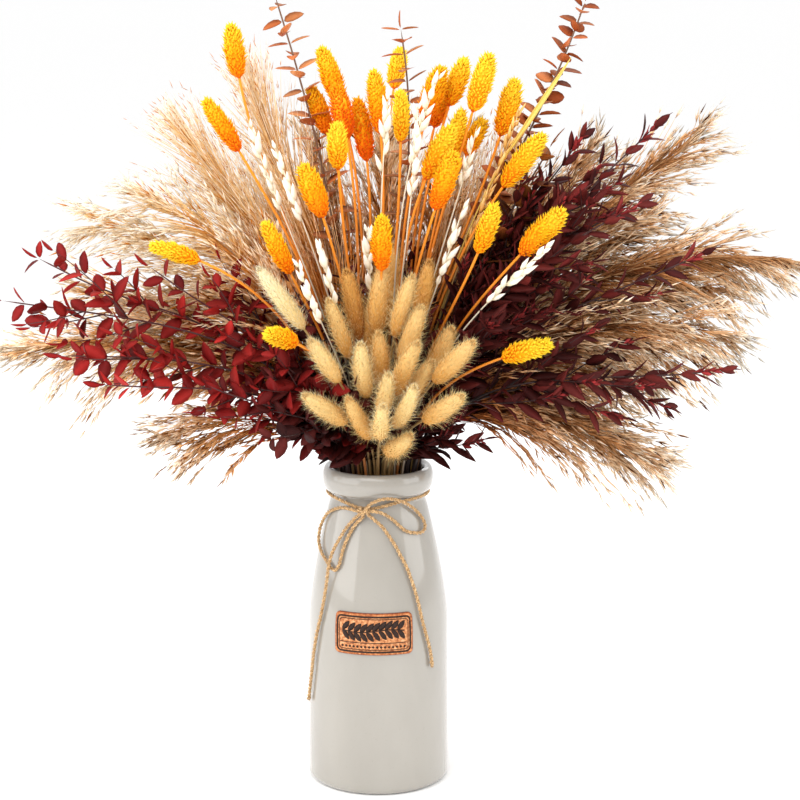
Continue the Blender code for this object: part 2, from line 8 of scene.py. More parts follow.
import bpy
import numpy as np
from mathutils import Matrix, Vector


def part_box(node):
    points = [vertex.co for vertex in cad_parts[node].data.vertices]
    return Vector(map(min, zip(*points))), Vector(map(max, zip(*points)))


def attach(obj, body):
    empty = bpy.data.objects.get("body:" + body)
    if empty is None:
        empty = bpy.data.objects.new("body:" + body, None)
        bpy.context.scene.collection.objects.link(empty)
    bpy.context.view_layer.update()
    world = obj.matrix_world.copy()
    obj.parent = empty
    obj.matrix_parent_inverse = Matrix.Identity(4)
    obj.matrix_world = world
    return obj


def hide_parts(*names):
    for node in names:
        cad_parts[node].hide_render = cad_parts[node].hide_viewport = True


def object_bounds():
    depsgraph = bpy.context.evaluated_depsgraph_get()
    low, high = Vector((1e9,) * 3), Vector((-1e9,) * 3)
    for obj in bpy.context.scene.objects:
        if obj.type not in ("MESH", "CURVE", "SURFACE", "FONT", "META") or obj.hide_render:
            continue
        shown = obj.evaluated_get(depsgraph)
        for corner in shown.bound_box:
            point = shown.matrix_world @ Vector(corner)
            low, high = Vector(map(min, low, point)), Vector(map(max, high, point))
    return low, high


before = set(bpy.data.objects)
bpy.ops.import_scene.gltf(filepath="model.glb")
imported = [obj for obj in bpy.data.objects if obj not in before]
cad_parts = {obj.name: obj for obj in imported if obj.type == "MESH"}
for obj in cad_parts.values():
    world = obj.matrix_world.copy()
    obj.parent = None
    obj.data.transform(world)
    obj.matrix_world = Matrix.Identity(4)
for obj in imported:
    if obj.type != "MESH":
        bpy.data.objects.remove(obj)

MM = 0.001
TAU = math.tau
UP = np.array([0.0, 0.0, 1.0])
cad_low, cad_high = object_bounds()


# Lines


def unit(vectors):
    return vectors / np.maximum(np.linalg.norm(vectors, axis=-1, keepdims=True), 1e-9)


def random_for(name):
    """The same random numbers each run, and different ones for each name."""
    return np.random.default_rng(list(name.encode()))


VARIES = {
    # the shares of its usual measure between which each thing is drawn
    "lock length": (0.82, 1.08), "lock spread": (0.2, 1.25), "branch length": (0.62, 1.04),
    "leaf size": (0.82, 1.15), "leaf opening": (0.75, 1.2), "shoot length": (0.8, 1.15),
    "canary length": (0.88, 1.06), "canary radius": (0.84, 1.18), "bunny radius": (0.85, 1.08),
    "hair lean": (0.7, 1.2), "grain size": (0.7, 1.2), "grain spread": (0.5, 1.6),
}


def vary(random, thing, count=None):
    """Random shares of a thing's usual measure."""
    return random.uniform(*VARIES[thing], count)


def distances(line):
    return np.concatenate([[0.0], np.cumsum(np.linalg.norm(np.diff(line, axis=0), axis=1))])


def at(line, along, wanted):
    """Points of a line at the wanted distances, going straight on beyond its end."""
    found = np.stack([np.interp(wanted, along, line[:, axis]) for axis in range(3)], axis=-1)
    beyond = np.clip(wanted - along[-1], 0.0, None)
    return found + beyond[..., None] * unit(line[-1] - line[-3])


def resample(line, step):
    """Even points along a line, about a step apart."""
    along = distances(line)
    return at(line, along, np.linspace(0.0, along[-1], max(3, round(along[-1] / step) + 1)))


def smoothed(line, rounds):
    for _ in range(rounds):
        middle = (line[:-2] + 2.0 * line[1:-1] + line[2:]) / 4.0
        line = np.vstack([line[:1], middle, line[-1:]])
    return line


def smooth_curve(route, step):
    """Points a step apart on a Catmull-Rom curve through a route."""
    route = np.array(route, float)
    padded = np.vstack([2 * route[0] - route[1], route, 2 * route[-1] - route[-2]])
    dense = []
    for before, start, end, after in zip(padded, padded[1:], padded[2:], padded[3:]):
        for t in np.arange(0.0, 1.0, 0.05):
            dense.append(
                0.5 * (2 * start + (end - before) * t
                       + (2 * before - 5 * start + 4 * end - after) * t**2
                       + (3 * start - before - 3 * end + after) * t**3)
            )
    return resample(np.array(dense + [route[-1]]), step)


def framed(paths):
    """Tangent and two square directions along many lines at once, turned as little as possible."""
    tangents = unit(np.gradient(paths, axis=1))
    side = np.cross(tangents[:, 0], (0.13, 0.97, 0.21))
    sides = np.empty_like(paths)
    for k in range(paths.shape[1]):
        side = unit(side - tangents[:, k] * (side * tangents[:, k]).sum(axis=1, keepdims=True))
        sides[:, k] = side
    return tangents, sides, np.cross(tangents, sides)


def framed_line(line):
    """Tangent and two square directions along one line."""
    return [part[0] for part in framed(line[None])]


def around(angles, side, other):
    """Directions at the given angles in the plane of two square ones."""
    return np.cos(angles)[..., None] * side + np.sin(angles)[..., None] * other


# Shapes

STANDS_PROUD = 11.0  # the most that fine hairs and leaves reach past the solids' box


def held_in(points):
    """Eases points that would reach past the frame's box back towards it."""
    low = np.array(cad_low) / MM
    high = np.array(cad_high) / MM
    over = np.clip(points - high, 0.0, None)
    under = np.clip(low - points, 0.0, None)
    eased = [STANDS_PROUD * np.tanh(excess / STANDS_PROUD) for excess in (over, under)]
    return np.clip(points, low, high) + eased[0] - eased[1]


def placed(name, data, place=(0.0, 0.0, 0.0)):
    """A new object of the scene, at a place in millimetres."""
    made = bpy.data.objects.new(name, data)
    made.location = Vector(place) * MM
    bpy.context.scene.collection.objects.link(made)
    return made


class Shape:
    """Gathers points and triangles for one mesh. Each point has a place along its part and a shade."""

    def __init__(self):
        self.points, self.faces, self.along, self.shade, self.finish = [], [], [], [], []
        self.count = 0

    def add(self, points, faces, along, shade, finish=0):
        points = points.reshape(-1, 3)
        faces = faces.reshape(-1, 3)
        self.points.append(points)
        self.faces.append(faces + self.count)
        self.along.append(np.broadcast_to(along, len(points)).astype(float))
        self.shade.append(np.broadcast_to(shade, len(points)).astype(float))
        self.finish.append(np.full(len(faces), finish))
        self.count += len(points)

    def add_blocks(self, points, faces, along, shade, finish=0):
        """Adds equal parts: points (parts, each, 3), the faces of one part, along and shade."""
        parts, each, _ = points.shape
        every = faces[None] + each * np.arange(parts)[:, None, None]
        along = np.broadcast_to(along, (parts, each)).ravel()
        shade = np.broadcast_to(np.asarray(shade, float).reshape(-1, 1), (parts, each)).ravel()
        self.add(points, every, along, shade, finish)

    def make(self, name, finishes, replaced=()):
        """One piece of the object, with a material for each finish number."""
        points = held_in(np.concatenate(self.points)) * MM
        faces = np.concatenate(self.faces)
        mesh = bpy.data.meshes.new(name)
        mesh.vertices.add(len(points))
        mesh.vertices.foreach_set("co", points.ravel())
        mesh.loops.add(faces.size)
        mesh.loops.foreach_set("vertex_index", faces.ravel().astype(np.int32))
        mesh.polygons.add(len(faces))
        mesh.polygons.foreach_set("loop_start", np.arange(0, faces.size, 3, dtype=np.int32))
        mesh.polygons.foreach_set("material_index", np.concatenate(self.finish).astype(np.int32))
        mesh.update(calc_edges=True)
        for label, values in (("along", self.along), ("shade", self.shade)):
            layer = mesh.attributes.new(label, "FLOAT", "POINT")
            layer.data.foreach_set("value", np.concatenate(values))
        for finish in finishes:
            mesh.materials.append(finish)
        mesh.shade_smooth()
        piece = placed(name, mesh)
        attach(piece, "root")
        if replaced:
            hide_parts(*replaced)
        return piece


def ring_faces(rings, sides):
    """Triangles of one tube: a foot, rings of points up the tube, then a tip point."""
    faces = [(0, k + 1, k) for k in range(1, sides - 1)]
    for ring in range(rings - 1):
        for k in range(sides):
            here, after = ring * sides + k, ring * sides + (k + 1) % sides
            faces += [(here, after, after + sides), (here, after + sides, here + sides)]
    top = (rings - 1) * sides
    faces += [(top + k, top + (k + 1) % sides, rings * sides) for k in range(sides)]
    return np.array(faces)


def sweep(shape, paths, radii, sides, shade, along=(0.0, 1.0), finish=0):
    """Tubes along many lines at once, paths (tubes, nodes, 3), each closed and ending in a point."""
    tubes, nodes, _ = paths.shape
    _, side, other = framed(paths)
    angles = TAU * np.arange(sides) / sides
    out = around(angles[None, None], side[:, :-1, None], other[:, :-1, None])
    radii = np.broadcast_to(radii, (tubes, nodes))
    rings = paths[:, :-1, None] + radii[:, :-1, None, None] * out
    points = np.concatenate([rings.reshape(tubes, -1, 3), paths[:, -1:]], axis=1)
    steps = np.append(np.repeat(np.linspace(0.0, 1.0, nodes)[:-1], sides), 1.0)
    start, end = (np.asarray(place, float).reshape(-1, 1) for place in along)
    places = start + (end - start) * steps
    shape.add_blocks(points, ring_faces(nodes - 1, sides), places, shade, finish)


def pod_faces(rings, sides):
    """Triangles of a body that is pointed at both ends: point 0 is its foot, the last its tip."""
    tube = ring_faces(rings, sides)[sides - 2 :] + 1
    foot = np.array([(0, 1 + (k + 1) % sides, 1 + k) for k in range(sides)])
    return np.vstack([foot, tube])


def pods(shape, feet, tips, radii, profile, sides, shade, along, across=None, flat=1.0):
    """Seeds, scales and grains. The profile is (share of the length, share of the radius) rings."""
    axis = unit(tips - feet)
    across = np.broadcast_to((0.31, 0.85, 0.42), axis.shape) if across is None else across
    side = unit(across - axis * (across * axis).sum(axis=1, keepdims=True))
    other = np.cross(axis, side) * flat
    angles = TAU * np.arange(sides) / sides
    out = around(angles[None], side[:, None], other[:, None])
    radii = np.broadcast_to(radii, len(feet))[:, None, None]
    rings = [
        (feet + share * (tips - feet))[:, None] + radii * width * out for share, width in profile
    ]
    points = np.concatenate([feet[:, None], *rings, tips[:, None]], axis=1)
    along = np.asarray(along, float)
    places = along if along.ndim == 0 or along.ndim == 2 else along[:, None]
    shape.add_blocks(points, pod_faces(len(profile), sides), places, shade)


LEAF_STATIONS = (0.12, 0.36, 0.64, 0.88)  # shares of a leaf's length where its width is set


def blades(shape, feet, grow, face, lengths, widths, shade, bend=0.12, fold=0.16, fullness=0.75,
           middle=0.9, thick=0.22, along=0.5):
    """Pointed leaves: grow is the way a midrib leaves its foot, and face is its upper side.

    A lower fullness makes a fuller outline, and a lower middle puts its widest part nearer the foot.
    """
    grow = unit(grow)
    side = unit(np.cross(grow, face))
    face = np.cross(side, grow)
    lengths = np.broadcast_to(lengths, len(feet))[:, None]
    widths = np.broadcast_to(widths, len(feet))[:, None]
    bend = np.broadcast_to(bend, len(feet))[:, None]
    stations = [feet]
    for share in LEAF_STATIONS:
        middle_line = feet + lengths * (share * grow - bend * share**2 * face)
        half = widths / 2 * math.sin(math.pi * share**middle) ** fullness
        lift = fold * half * face
        stations += [
            middle_line - half * side + lift,
            middle_line - thick * face,
            middle_line + half * side + lift,
            middle_line + thick * face,
        ]
    stations.append(feet + lengths * (grow - bend * face))
    points = np.stack(stations, axis=1)
    shape.add_blocks(points, pod_faces(len(LEAF_STATIONS), 4), along, shade)


# Finishes

# Painted shade: plant colours are multiplied by a tint near this middle of the bouquet, fully within
# the nearer reach and not at all past the farther one, in millimetres
PAINTED_SHADE_CENTRE = (0.0, 10.0, 235.0)
PAINTED_SHADE_REACH = (45.0, 150.0)


def linear(code):
    """A colour's linear values from its six-digit code."""
    parts = [int(code[k : k + 2], 16) / 255 for k in (0, 2, 4)]
    return (*[v / 12.92 if v <= 0.04045 else ((v + 0.055) / 1.055) ** 2.4 for v in parts], 1.0)


class Finish:
    """A material on a Principled shader, built up from nodes."""

    def __init__(self, name, roughness, **sockets):
        self.material = bpy.data.materials.new(name)
        self.material.use_nodes = True
        self.tree = self.material.node_tree
        self.shader = self.tree.nodes["Principled BSDF"]
        self.shader.inputs["Roughness"].default_value = roughness
        for socket, value in sockets.items():
            self.shader.inputs[socket.replace("_", " ")].default_value = value

    def node(self, kind, inputs=(), **settings):
        made = self.tree.nodes.new("ShaderNode" + kind)
        for setting, value in settings.items():
            setattr(made, setting, value)
        for socket, value in dict(inputs).items():
            if isinstance(value, bpy.types.NodeSocket):
                self.tree.links.new(value, made.inputs[socket])
            else:
                made.inputs[socket].default_value = value
        return made

    def place(self, stretch=(1.0, 1.0, 1.0)):
        """Object coordinates in metres, stretched."""
        where = self.node("TexCoord").outputs["Object"]
        return self.node("Mapping", {"Vector": where, "Scale": stretch}).outputs["Vector"]

    def noise(self, scale, detail, stretch=(1.0, 1.0, 1.0)):
        inputs = {"Vector": self.place(stretch), "Scale": scale, "Detail": detail}
        return self.node("TexNoise", inputs).outputs["Fac"]

    def value(self, attribute):
        return self.node("Attribute", attribute_name=attribute).outputs["Fac"]

    def sum(self, first, second):
        return self.node("Math", {0: first, 1: second}, operation="ADD").outputs[0]

    def span(self, value, low, high):
        """Turns 0 to 1 into low to high."""
        return self.node("MapRange", {"Value": value, "To Min": low, "To Max": high}).outputs[0]

    def painted_shade(self, colour, tint):
        """Painted shade: the colour deepens towards the bouquet's middle, where it is multiplied by the
        tint.
        """
        where = {0: self.place(), 1: Vector(PAINTED_SHADE_CENTRE) * MM}
        distance = self.node("VectorMath", where, operation="DISTANCE").outputs["Value"]
        near, far = (reach * MM for reach in PAINTED_SHADE_REACH)
        outwards = {"Value": distance, "From Min": near, "From Max": far}
        share = self.node("MapRange", outwards).outputs[0]
        return self.mix(1.0, colour, self.mix(share, linear(tint), linear("FFFFFF")), "MULTIPLY")

    def ramp(self, factor, stops):
        """A colour ramp. Each stop is a place in hundredths and a colour's code."""
        stops = [stop.split() for stop in stops.split(", ")]
        made = self.node("ValToRGB", {"Fac": factor})
        elements = made.color_ramp.elements
        while len(elements) < len(stops):
            elements.new(0.5)
        for element, (place, code) in zip(elements, stops):
            element.position = int(place) / 100
            element.color = linear(code)
        return made.outputs["Color"]

    def mix(self, factor, first, second, blend="MIX"):
        made = self.node("Mix", {0: factor, 6: first, 7: second}, data_type="RGBA")
        made.blend_type = blend
        return made.outputs[2]

    def brighten(self, colour, value):
        return self.node("HueSaturation", {"Color": colour, "Value": value}).outputs["Color"]

    def paint(self, colour):
        self.tree.links.new(colour, self.shader.inputs["Base Color"])

    def bump(self, height, depth, strength):
        made = self.node("Bump", {"Height": height, "Distance": depth * MM, "Strength": strength})
        self.tree.links.new(made.outputs["Normal"], self.shader.inputs["Normal"])


def glaze_finish():
    made = Finish("glaze", 0.12, Coat_Weight=0.9, Coat_Roughness=0.03)
    cloudy = made.noise(26.0, 4.0, (1.0, 1.0, 0.5))
    body = made.ramp(cloudy, "30 98938A, 55 9E9990, 80 A49F96")
    specks = made.ramp(made.noise(900.0, 2.0), "27 A79F93, 34 FFFFFF")
    made.paint(made.mix(0.1, body, specks, "MULTIPLY"))
    made.bump(made.noise(60.0, 2.0), 0.08, 0.3)
    return made.material


def leather_finish():
    made = Finish("leather", 0.55, Specular_IOR_Level=0.35)
    grain = made.noise(620.0, 6.0)
    mottled = made.ramp(grain, "34 94502A, 50 C27E4C, 68 E2A878")
    worn = made.ramp(made.value("along"), "0 9C5A2C, 10 F4D9BC, 24 FFFFFF")
    made.paint(made.mix(1.0, mottled, worn, "MULTIPLY"))
    pores = made.node("TexVoronoi", {"Vector": made.place(), "Scale": 1700.0}).outputs["Distance"]
    made.bump(made.sum(pores, made.noise(600.0, 4.0)), 0.16, 0.8)
    return made.material


def ink_finish():
    made = Finish("label_print", 0.6, Specular_IOR_Level=0.3)
    worn = made.noise(900.0, 4.0)
    made.paint(made.ramp(worn, "35 22140E, 60 321D14, 80 54321F"))
    made.bump(made.noise(1500.0, 3.0), 0.08, 0.5)
    return made.material


def twine_finish():
    made = Finish("twine", 0.88, Sheen_Weight=0.25, Specular_IOR_Level=0.2)
    fibres = made.noise(2600.0, 4.0, (1.0, 1.0, 0.45))
    tan = made.ramp(fibres, "32 6A451F, 47 BC9260, 66 EACB9B")
    made.paint(made.brighten(tan, made.span(made.value("shade"), 0.78, 1.14)))
    made.bump(fibres, 0.25, 0.9)
    return made.material


def plant_finish(name, stops, roughness=0.7, contrast=(0.75, 1.2), grain=500.0, tint="ADA2A2",
                 **sockets):
    """Colours from a part's foot to its tip, a brightness of its own for each part, and painted shade
    in the middle.
    """
    made = Finish(name, roughness, **sockets)
    spread = made.noise(grain, 3.0)
    place = made.sum(made.value("along"), made.span(spread, -0.12, 0.12))
    colour = made.brighten(made.ramp(place, stops), made.span(made.value("shade"), *contrast))
    made.paint(made.painted_shade(colour, tint) if tint else colour)
    made.bump(spread, 0.12, 0.6)
    return made.material


def floor_finish():
    made = Finish("floor", 0.8)
    made.paint(made.ramp(made.noise(40.0, 4.0), "30 FEFEFE, 70 FFFFFF"))
    return made.material


# Camera, light and floor

CAMERA_PLACE = (13.6, -1370.0, 519.0)
CAMERA_TURN = (78.5, 0.0, 0.0)
CAMERA_LENS = 102.5
LIGHTS = {
    # name: place, size, watts
    "left_softbox": ((-940, -342, 680), (1400, 1250), 8.6),
    "right_softbox": ((1007, -298, 600), (800, 1000), 3.8),
    "overhead": ((-150, -300, 1500), (1100, 900), 5.0),
    "front": ((-250, -1400, 1300), (1400, 900), 8.0),
    "back": ((300, 1000, 1000), (900, 900), 3.0),
}


def add_camera():
    data = bpy.data.cameras.new("camera")
    data.lens = CAMERA_LENS
    camera = placed("camera", data, CAMERA_PLACE)
    camera.rotation_euler = [math.radians(turn) for turn in CAMERA_TURN]
    bpy.context.scene.camera = camera


def add_lights():
    target = (cad_low + cad_high) / 2
    for name, (place, size, watts) in LIGHTS.items():
        data = bpy.data.lights.new(name, "AREA")
        data.shape = "RECTANGLE"
        data.size, data.size_y = size[0] * MM, size[1] * MM
        data.energy = watts
        light = placed(name, data, place)
        light.rotation_euler = (target - light.location).to_track_quat("-Z", "Y").to_euler()
    world = bpy.data.worlds.new("studio")
    world.use_nodes = True
    background = world.node_tree.nodes["Background"].inputs
    background["Color"].default_value = linear("FFFFFF")
    background["Strength"].default_value = 1.0
    bpy.context.scene.world = world
    bpy.context.scene.view_settings.view_transform = "Standard"


FLOOR_HALF = 60.0  # in metres, so that no edge of it is seen
FLOOR_GAP = 0.2


def add_floor():
    corners = [(x * FLOOR_HALF, y * FLOOR_HALF, 0.0) for x, y in ((-1, -1), (1, -1), (1, 1), (-1, 1))]
    mesh = bpy.data.meshes.new("floor")
    mesh.from_pydata(corners, [], [(0, 1, 2, 3)])
    mesh.materials.append(floor_finish())
    floor = placed("floor", mesh)
    floor.location.z = cad_low.z - FLOOR_GAP * MM


# Twine: the bow's four cords, the turn round the neck and the knot

TWINE = 2.2
PLY_RADIUS = 0.62
PLY_OFFSET = 0.56
TWIST_PITCH = 5.2
TWIST_STEP = 0.65
KNOT_CENTRE = (-7.7, -35.2, 179.2)
WRAP_HEIGHT = 183.5
KNOT_DIP = 4.3
KNOT_DIP_WIDTH = 0.5
BOW = {
    "twine_loop_left": [
        (-12.4, -33.6, 178.7), (-16.5, -30.0, 178.9), (-21.5, -24.3, 178.4), (-26.1, -19.4, 176.4),
        (-31.0, -13.2, 172.0), (-34.4, -8.4, 165.4), (-36.3, -8.6, 158.6), (-36.3, -12.3, 152.9),
        (-34.4, -18.4, 148.5), (-31.3, -24.6, 145.0), (-28.8, -28.3, 142.0), (-25.8, -31.4, 141.0),
        (-23.3, -32.4, 145.0), (-21.6, -31.7, 152.0), (-19.1, -31.4, 159.3), (-16.2, -31.6, 165.3),
        (-12.8, -32.2, 170.8), (-9.5, -34.3, 174.4),
    ],
    "twine_loop_right": [
        (-4.3, -36.0, 183.4), (-1.2, -37.2, 185.3), (3.0, -37.0, 186.6), (8.3, -35.8, 186.6),
        (13.8, -33.4, 184.8), (18.4, -29.0, 181.4), (22.6, -24.6, 177.2), (26.3, -21.3, 172.2),
        (28.6, -20.2, 167.6), (28.7, -21.7, 164.3), (26.3, -24.9, 162.8), (22.1, -28.5, 163.6),
        (17.5, -31.0, 165.3), (13.9, -32.1, 168.3), (9.8, -33.0, 172.4), (5.0, -34.2, 176.2),
        (0.8, -35.4, 178.2), (-2.7, -36.0, 178.9),
    ],
    "twine_tail_left": [
        (-11.7, -34.2, 176.0), (-15.0, -31.9, 172.4), (-19.0, -30.3, 167.2), (-22.6, -29.5, 161.2),
        (-26.0, -29.2, 155.0), (-28.4, -30.0, 149.3), (-29.9, -31.2, 143.6), (-30.7, -31.2, 137.5),
        (-31.6, -30.4, 130.5), (-33.1, -29.8, 121.0), (-35.1, -28.9, 110.5), (-37.6, -26.5, 99.0),
        (-39.8, -23.1, 85.0), (-41.3, -20.3, 71.0), (-42.6, -17.3, 60.0), (-43.3, -15.4, 53.0),
    ],
    "twine_tail_right": [
        (-4.4, -35.8, 175.6), (-1.2, -35.2, 172.7), (2.9, -35.2, 169.0), (7.0, -35.8, 163.4),
        (11.0, -36.2, 157.2), (14.0, -36.2, 151.3), (16.8, -36.2, 146.0), (19.2, -36.4, 140.0),
        (22.0, -36.6, 131.5), (24.8, -36.9, 121.3), (27.2, -36.8, 110.4), (29.6, -35.2, 100.8),
        (32.0, -33.0, 90.3), (33.3, -31.7, 80.0),
    ],
}
LOOSE_FIBRES = 2.0  # for each millimetre of twine
FRAY_FIBRES = 40
FRAY_LENGTH = 4.0
FRAY_SWELL = 0.4  # how much thicker the twine is at a frayed end
FRAY_SPREAD = 0.45
FRAY_LENGTHS = (1.0, 1.8)
FIBRE_LENGTHS = (0.6, 1.5)
FIBRE_LEAN = 0.9
FIBRE_CURL = 0.2
LUMPS = 0.10  # how much the plies' thickness varies
INTO_KNOT = 0.7  # how far towards the knot's centre each strand goes on


def fibres(shape, feet, directions, lengths, random, radius=0.06):
    """Fine curled hairs that taper to a point."""
    shares = np.linspace(0.0, 1.0, 4)[None, :, None]
    curl = random.normal(0.0, FIBRE_CURL, (len(feet), 1, 3)) * lengths[:, None, None] * shares**2
    paths = feet[:, None] + shares * (directions * lengths[:, None])[:, None] + curl
    sweep(shape, paths, radius, 3, random.uniform(0.6, 1.0, len(feet)))


def twisted(shape, line, random, fray=False, thick=1.0):
    """Two plies of twine laid round each other, with loose fibres. Returns its middle line."""
    line = resample(line, TWIST_STEP)
    along = distances(line)
    tangent, side, other = framed_line(line)
    swell = 1.0 + FRAY_SWELL * np.clip(1.0 - (along[-1] - along) / FRAY_LENGTH, 0.0, 1.0) * fray
    for ply in (0.0, math.pi):
        turn = TAU * along / TWIST_PITCH + ply
        centres = line + thick * PLY_OFFSET * swell[:, None] * around(turn, side, other)
        lumps = 1.0 + LUMPS * np.sin(along * 2.1 + ply * 3) * np.sin(along * 0.77)
        # The two plies differ in brightness, partly as their own tone and partly as painted shade in
        # the gaps between them
        shade = 0.5 + 0.4 * math.sin(ply + 1.0)
        sweep(shape, centres[None], (thick * PLY_RADIUS * swell * lumps)[None], 8, shade)
    count = int(LOOSE_FIBRES * along[-1])
    picks = random.integers(1, len(line) - 1, count)
    angles = random.uniform(0.0, TAU, count)
    out = around(angles, side[picks], other[picks])
    lean = out + random.normal(0.0, FIBRE_LEAN, (count, 1)) * tangent[picks]
    feet = line[picks] + 0.9 * PLY_RADIUS * out
    fibres(shape, feet, unit(lean), random.uniform(*FIBRE_LENGTHS, count), random)
    if fray:
        angles = random.uniform(0.0, TAU, FRAY_FIBRES)
        out = around(angles, side[-1], other[-1])
        feet = line[-1] - 0.4 * tangent[-1] + 0.55 * random.uniform(0, 1, (FRAY_FIBRES, 1)) * out
        lean = unit(tangent[-1] + FRAY_SPREAD * out)
        fibres(shape, feet, lean, random.uniform(*FRAY_LENGTHS, FRAY_FIBRES), random, radius=0.09)
    return line


def vase_radius(z):
    """Outer radius of the vase at a height below the rim."""
    share = np.clip((z - SHOULDER_START) / (SHOULDER_END - SHOULDER_START), 0.0, 1.0)
    return BODY_RADIUS - SHOULDER_DROP * share**SHOULDER_POWER


def into_knot(point):
    return tuple(np.array(point) + INTO_KNOT * (np.array(KNOT_CENTRE) - point))


def make_twine(finish):
    for name, route in BOW.items():
        shape = Shape()
        tail = "tail" in name
        ends = [into_knot(route[0]), *route]
        if not tail:
            ends.append(into_knot(route[-1]))
        line = twisted(shape, smooth_curve(ends, 1.0), random_for(name), fray=tail)
        piece = shape.make(name + "_strands", [finish], [name])


def make_wrap(finish):
    """The turn round the neck, pulled down a little where the knot is."""
    knot_turn = math.atan2(KNOT_CENTRE[1], KNOT_CENTRE[0])
    turns = knot_turn + np.linspace(0.0, TAU, 120)
    from_knot = (turns - knot_turn + math.pi) % TAU - math.pi
    heights = WRAP_HEIGHT - KNOT_DIP * np.exp(-((from_knot / KNOT_DIP_WIDTH) ** 2))
    radii = vase_radius(heights - TWINE / 2) + TWINE / 2 + 0.2
    line = np.stack([radii * np.cos(turns), radii * np.sin(turns), heights], axis=1)
    shape = Shape()
    twisted(shape, line, random_for("wrap"))
    shape.make("twine_wrap_strands", [finish], ["twine_wrap"])


KNOT_TURNS = [
    # tilt and offset along the knot of each turn of twine, half length and half height
    (-0.55, -1.5, 2.6, 2.7), (0.50, 0.2, 2.4, 2.9), (-0.15, 1.7, 2.3, 2.5),
]
KNOT_OVERLAP = 1.04  # each turn goes round a little more than once
KNOT_TIGHTNESS = (0.72, 0.8)  # of the turns' middle lines, in depth and in height


def make_knot(finish):
    """Turns of twine drawn tight over each other."""
    shape = Shape()
    random = random_for("knot")
    centre = np.array(KNOT_CENTRE)
    out = unit(centre * (1.0, 1.0, 0.0))
    side = np.cross(UP, out)
    angles = np.linspace(0.0, KNOT_OVERLAP * TAU, 40)
    inward, lower = KNOT_TIGHTNESS
    for tilt, offset, deep, tall in KNOT_TURNS:
        up = UP * math.cos(tilt) + side * math.sin(tilt)
        loop = deep * inward * np.cos(angles)[:, None] * out
        loop = loop + tall * lower * np.sin(angles)[:, None] * up
        twisted(shape, centre + offset * side + loop, random, thick=0.9)
    shape.make("twine_knot_strands", [finish], ["twine_knot"])


# Vase and label

vase_low, vase_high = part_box("vase")
BODY_RADIUS = (vase_high.x - vase_low.x) / 2 / MM
SHOULDER_START = 104.0
SHOULDER_END = 180.0
SHOULDER_DROP = 14.2
SHOULDER_POWER = 1.4
NECK_CREASE = (29.2, 184.8)
RIM_CENTRE = (30.9, 192.6)
RIM_HALF_WIDTH = 3.6
RIM_HALF_HEIGHT = 7.4
RIM_SQUARENESS = 0.85
RIM_ANGLES = (-78, 176, 9)  # in degrees, from below the rim's outside over its top
FOOT_CORNERS = ((-2.6, 0.0), (0.0, 3.0), (0.0, 12.0))  # from the body's radius, and height
FOOT_ROUNDING = 3.0
WALL = 4.0
FLOOR = 5.5
TURNED_SIDES = 96
ROUNDING_STEPS = 6
ROUNDING_SHARE = 0.45  # of the shorter side of a corner, at most


def rounded(corners, radius):
    """A profile with its inner corners rounded, and its first and last points kept."""
    corners = np.array(corners, float)
    points = [corners[0]]
    for before, corner, after in zip(corners, corners[1:], corners[2:]):
        sides = [ROUNDING_SHARE * np.linalg.norm(end - corner) for end in (before, after)]
        reach = min(radius, *sides)
        start = corner + reach * unit(before - corner)
        end = corner + reach * unit(after - corner)
        for t in np.linspace(0.0, 1.0, ROUNDING_STEPS):
            points.append((1 - t) ** 2 * start + 2 * (1 - t) * t * corner + t**2 * end)
    return np.vstack([points, corners[-1:]])


def vase_profile():
    foot = [(0.0, 0.0), *((BODY_RADIUS + out, height) for out, height in FOOT_CORNERS)]
    foot = rounded(foot, FOOT_ROUNDING)
    body = np.linspace(16.0, SHOULDER_END, 40)
    outside = np.stack([vase_radius(body), body], axis=1)
    angles = np.radians(np.arange(*RIM_ANGLES))
    across = np.sign(np.cos(angles)) * np.abs(np.cos(angles)) ** RIM_SQUARENESS
    rim = np.stack(
        [RIM_CENTRE[0] + RIM_HALF_WIDTH * across, RIM_CENTRE[1] + RIM_HALF_HEIGHT * np.sin(angles)],
        axis=1,
    )
    body = np.linspace(SHOULDER_END - 2, FLOOR + 6, 16)
    inside = np.stack([vase_radius(body) - WALL, body], axis=1)
    bottom = [(BODY_RADIUS - WALL - 3.0, FLOOR + 0.6), (0.0, FLOOR)]
    return np.vstack([foot, outside, [NECK_CREASE], rim, inside, bottom])


def make_vase():
    profile = vase_profile()
    turns = TAU * np.arange(TURNED_SIDES) / TURNED_SIDES
    radii, heights = profile[1:-1].T
    rings = np.stack(
        [
            radii[:, None] * np.cos(turns),
            radii[:, None] * np.sin(turns),
            np.broadcast_to(heights[:, None], (len(radii), TURNED_SIDES)),
        ],
        axis=2,
    )
    ends = [(0.0, 0.0, profile[0, 1]), (0.0, 0.0, profile[-1, 1])]
    points = np.vstack([ends[:1], rings.reshape(-1, 3), ends[1:]])
    shape = Shape()
    shape.add(points, pod_faces(len(radii), TURNED_SIDES), 0.5, 0.5)
    shape.make("glazed_vase", [glaze_finish()], ["vase"])


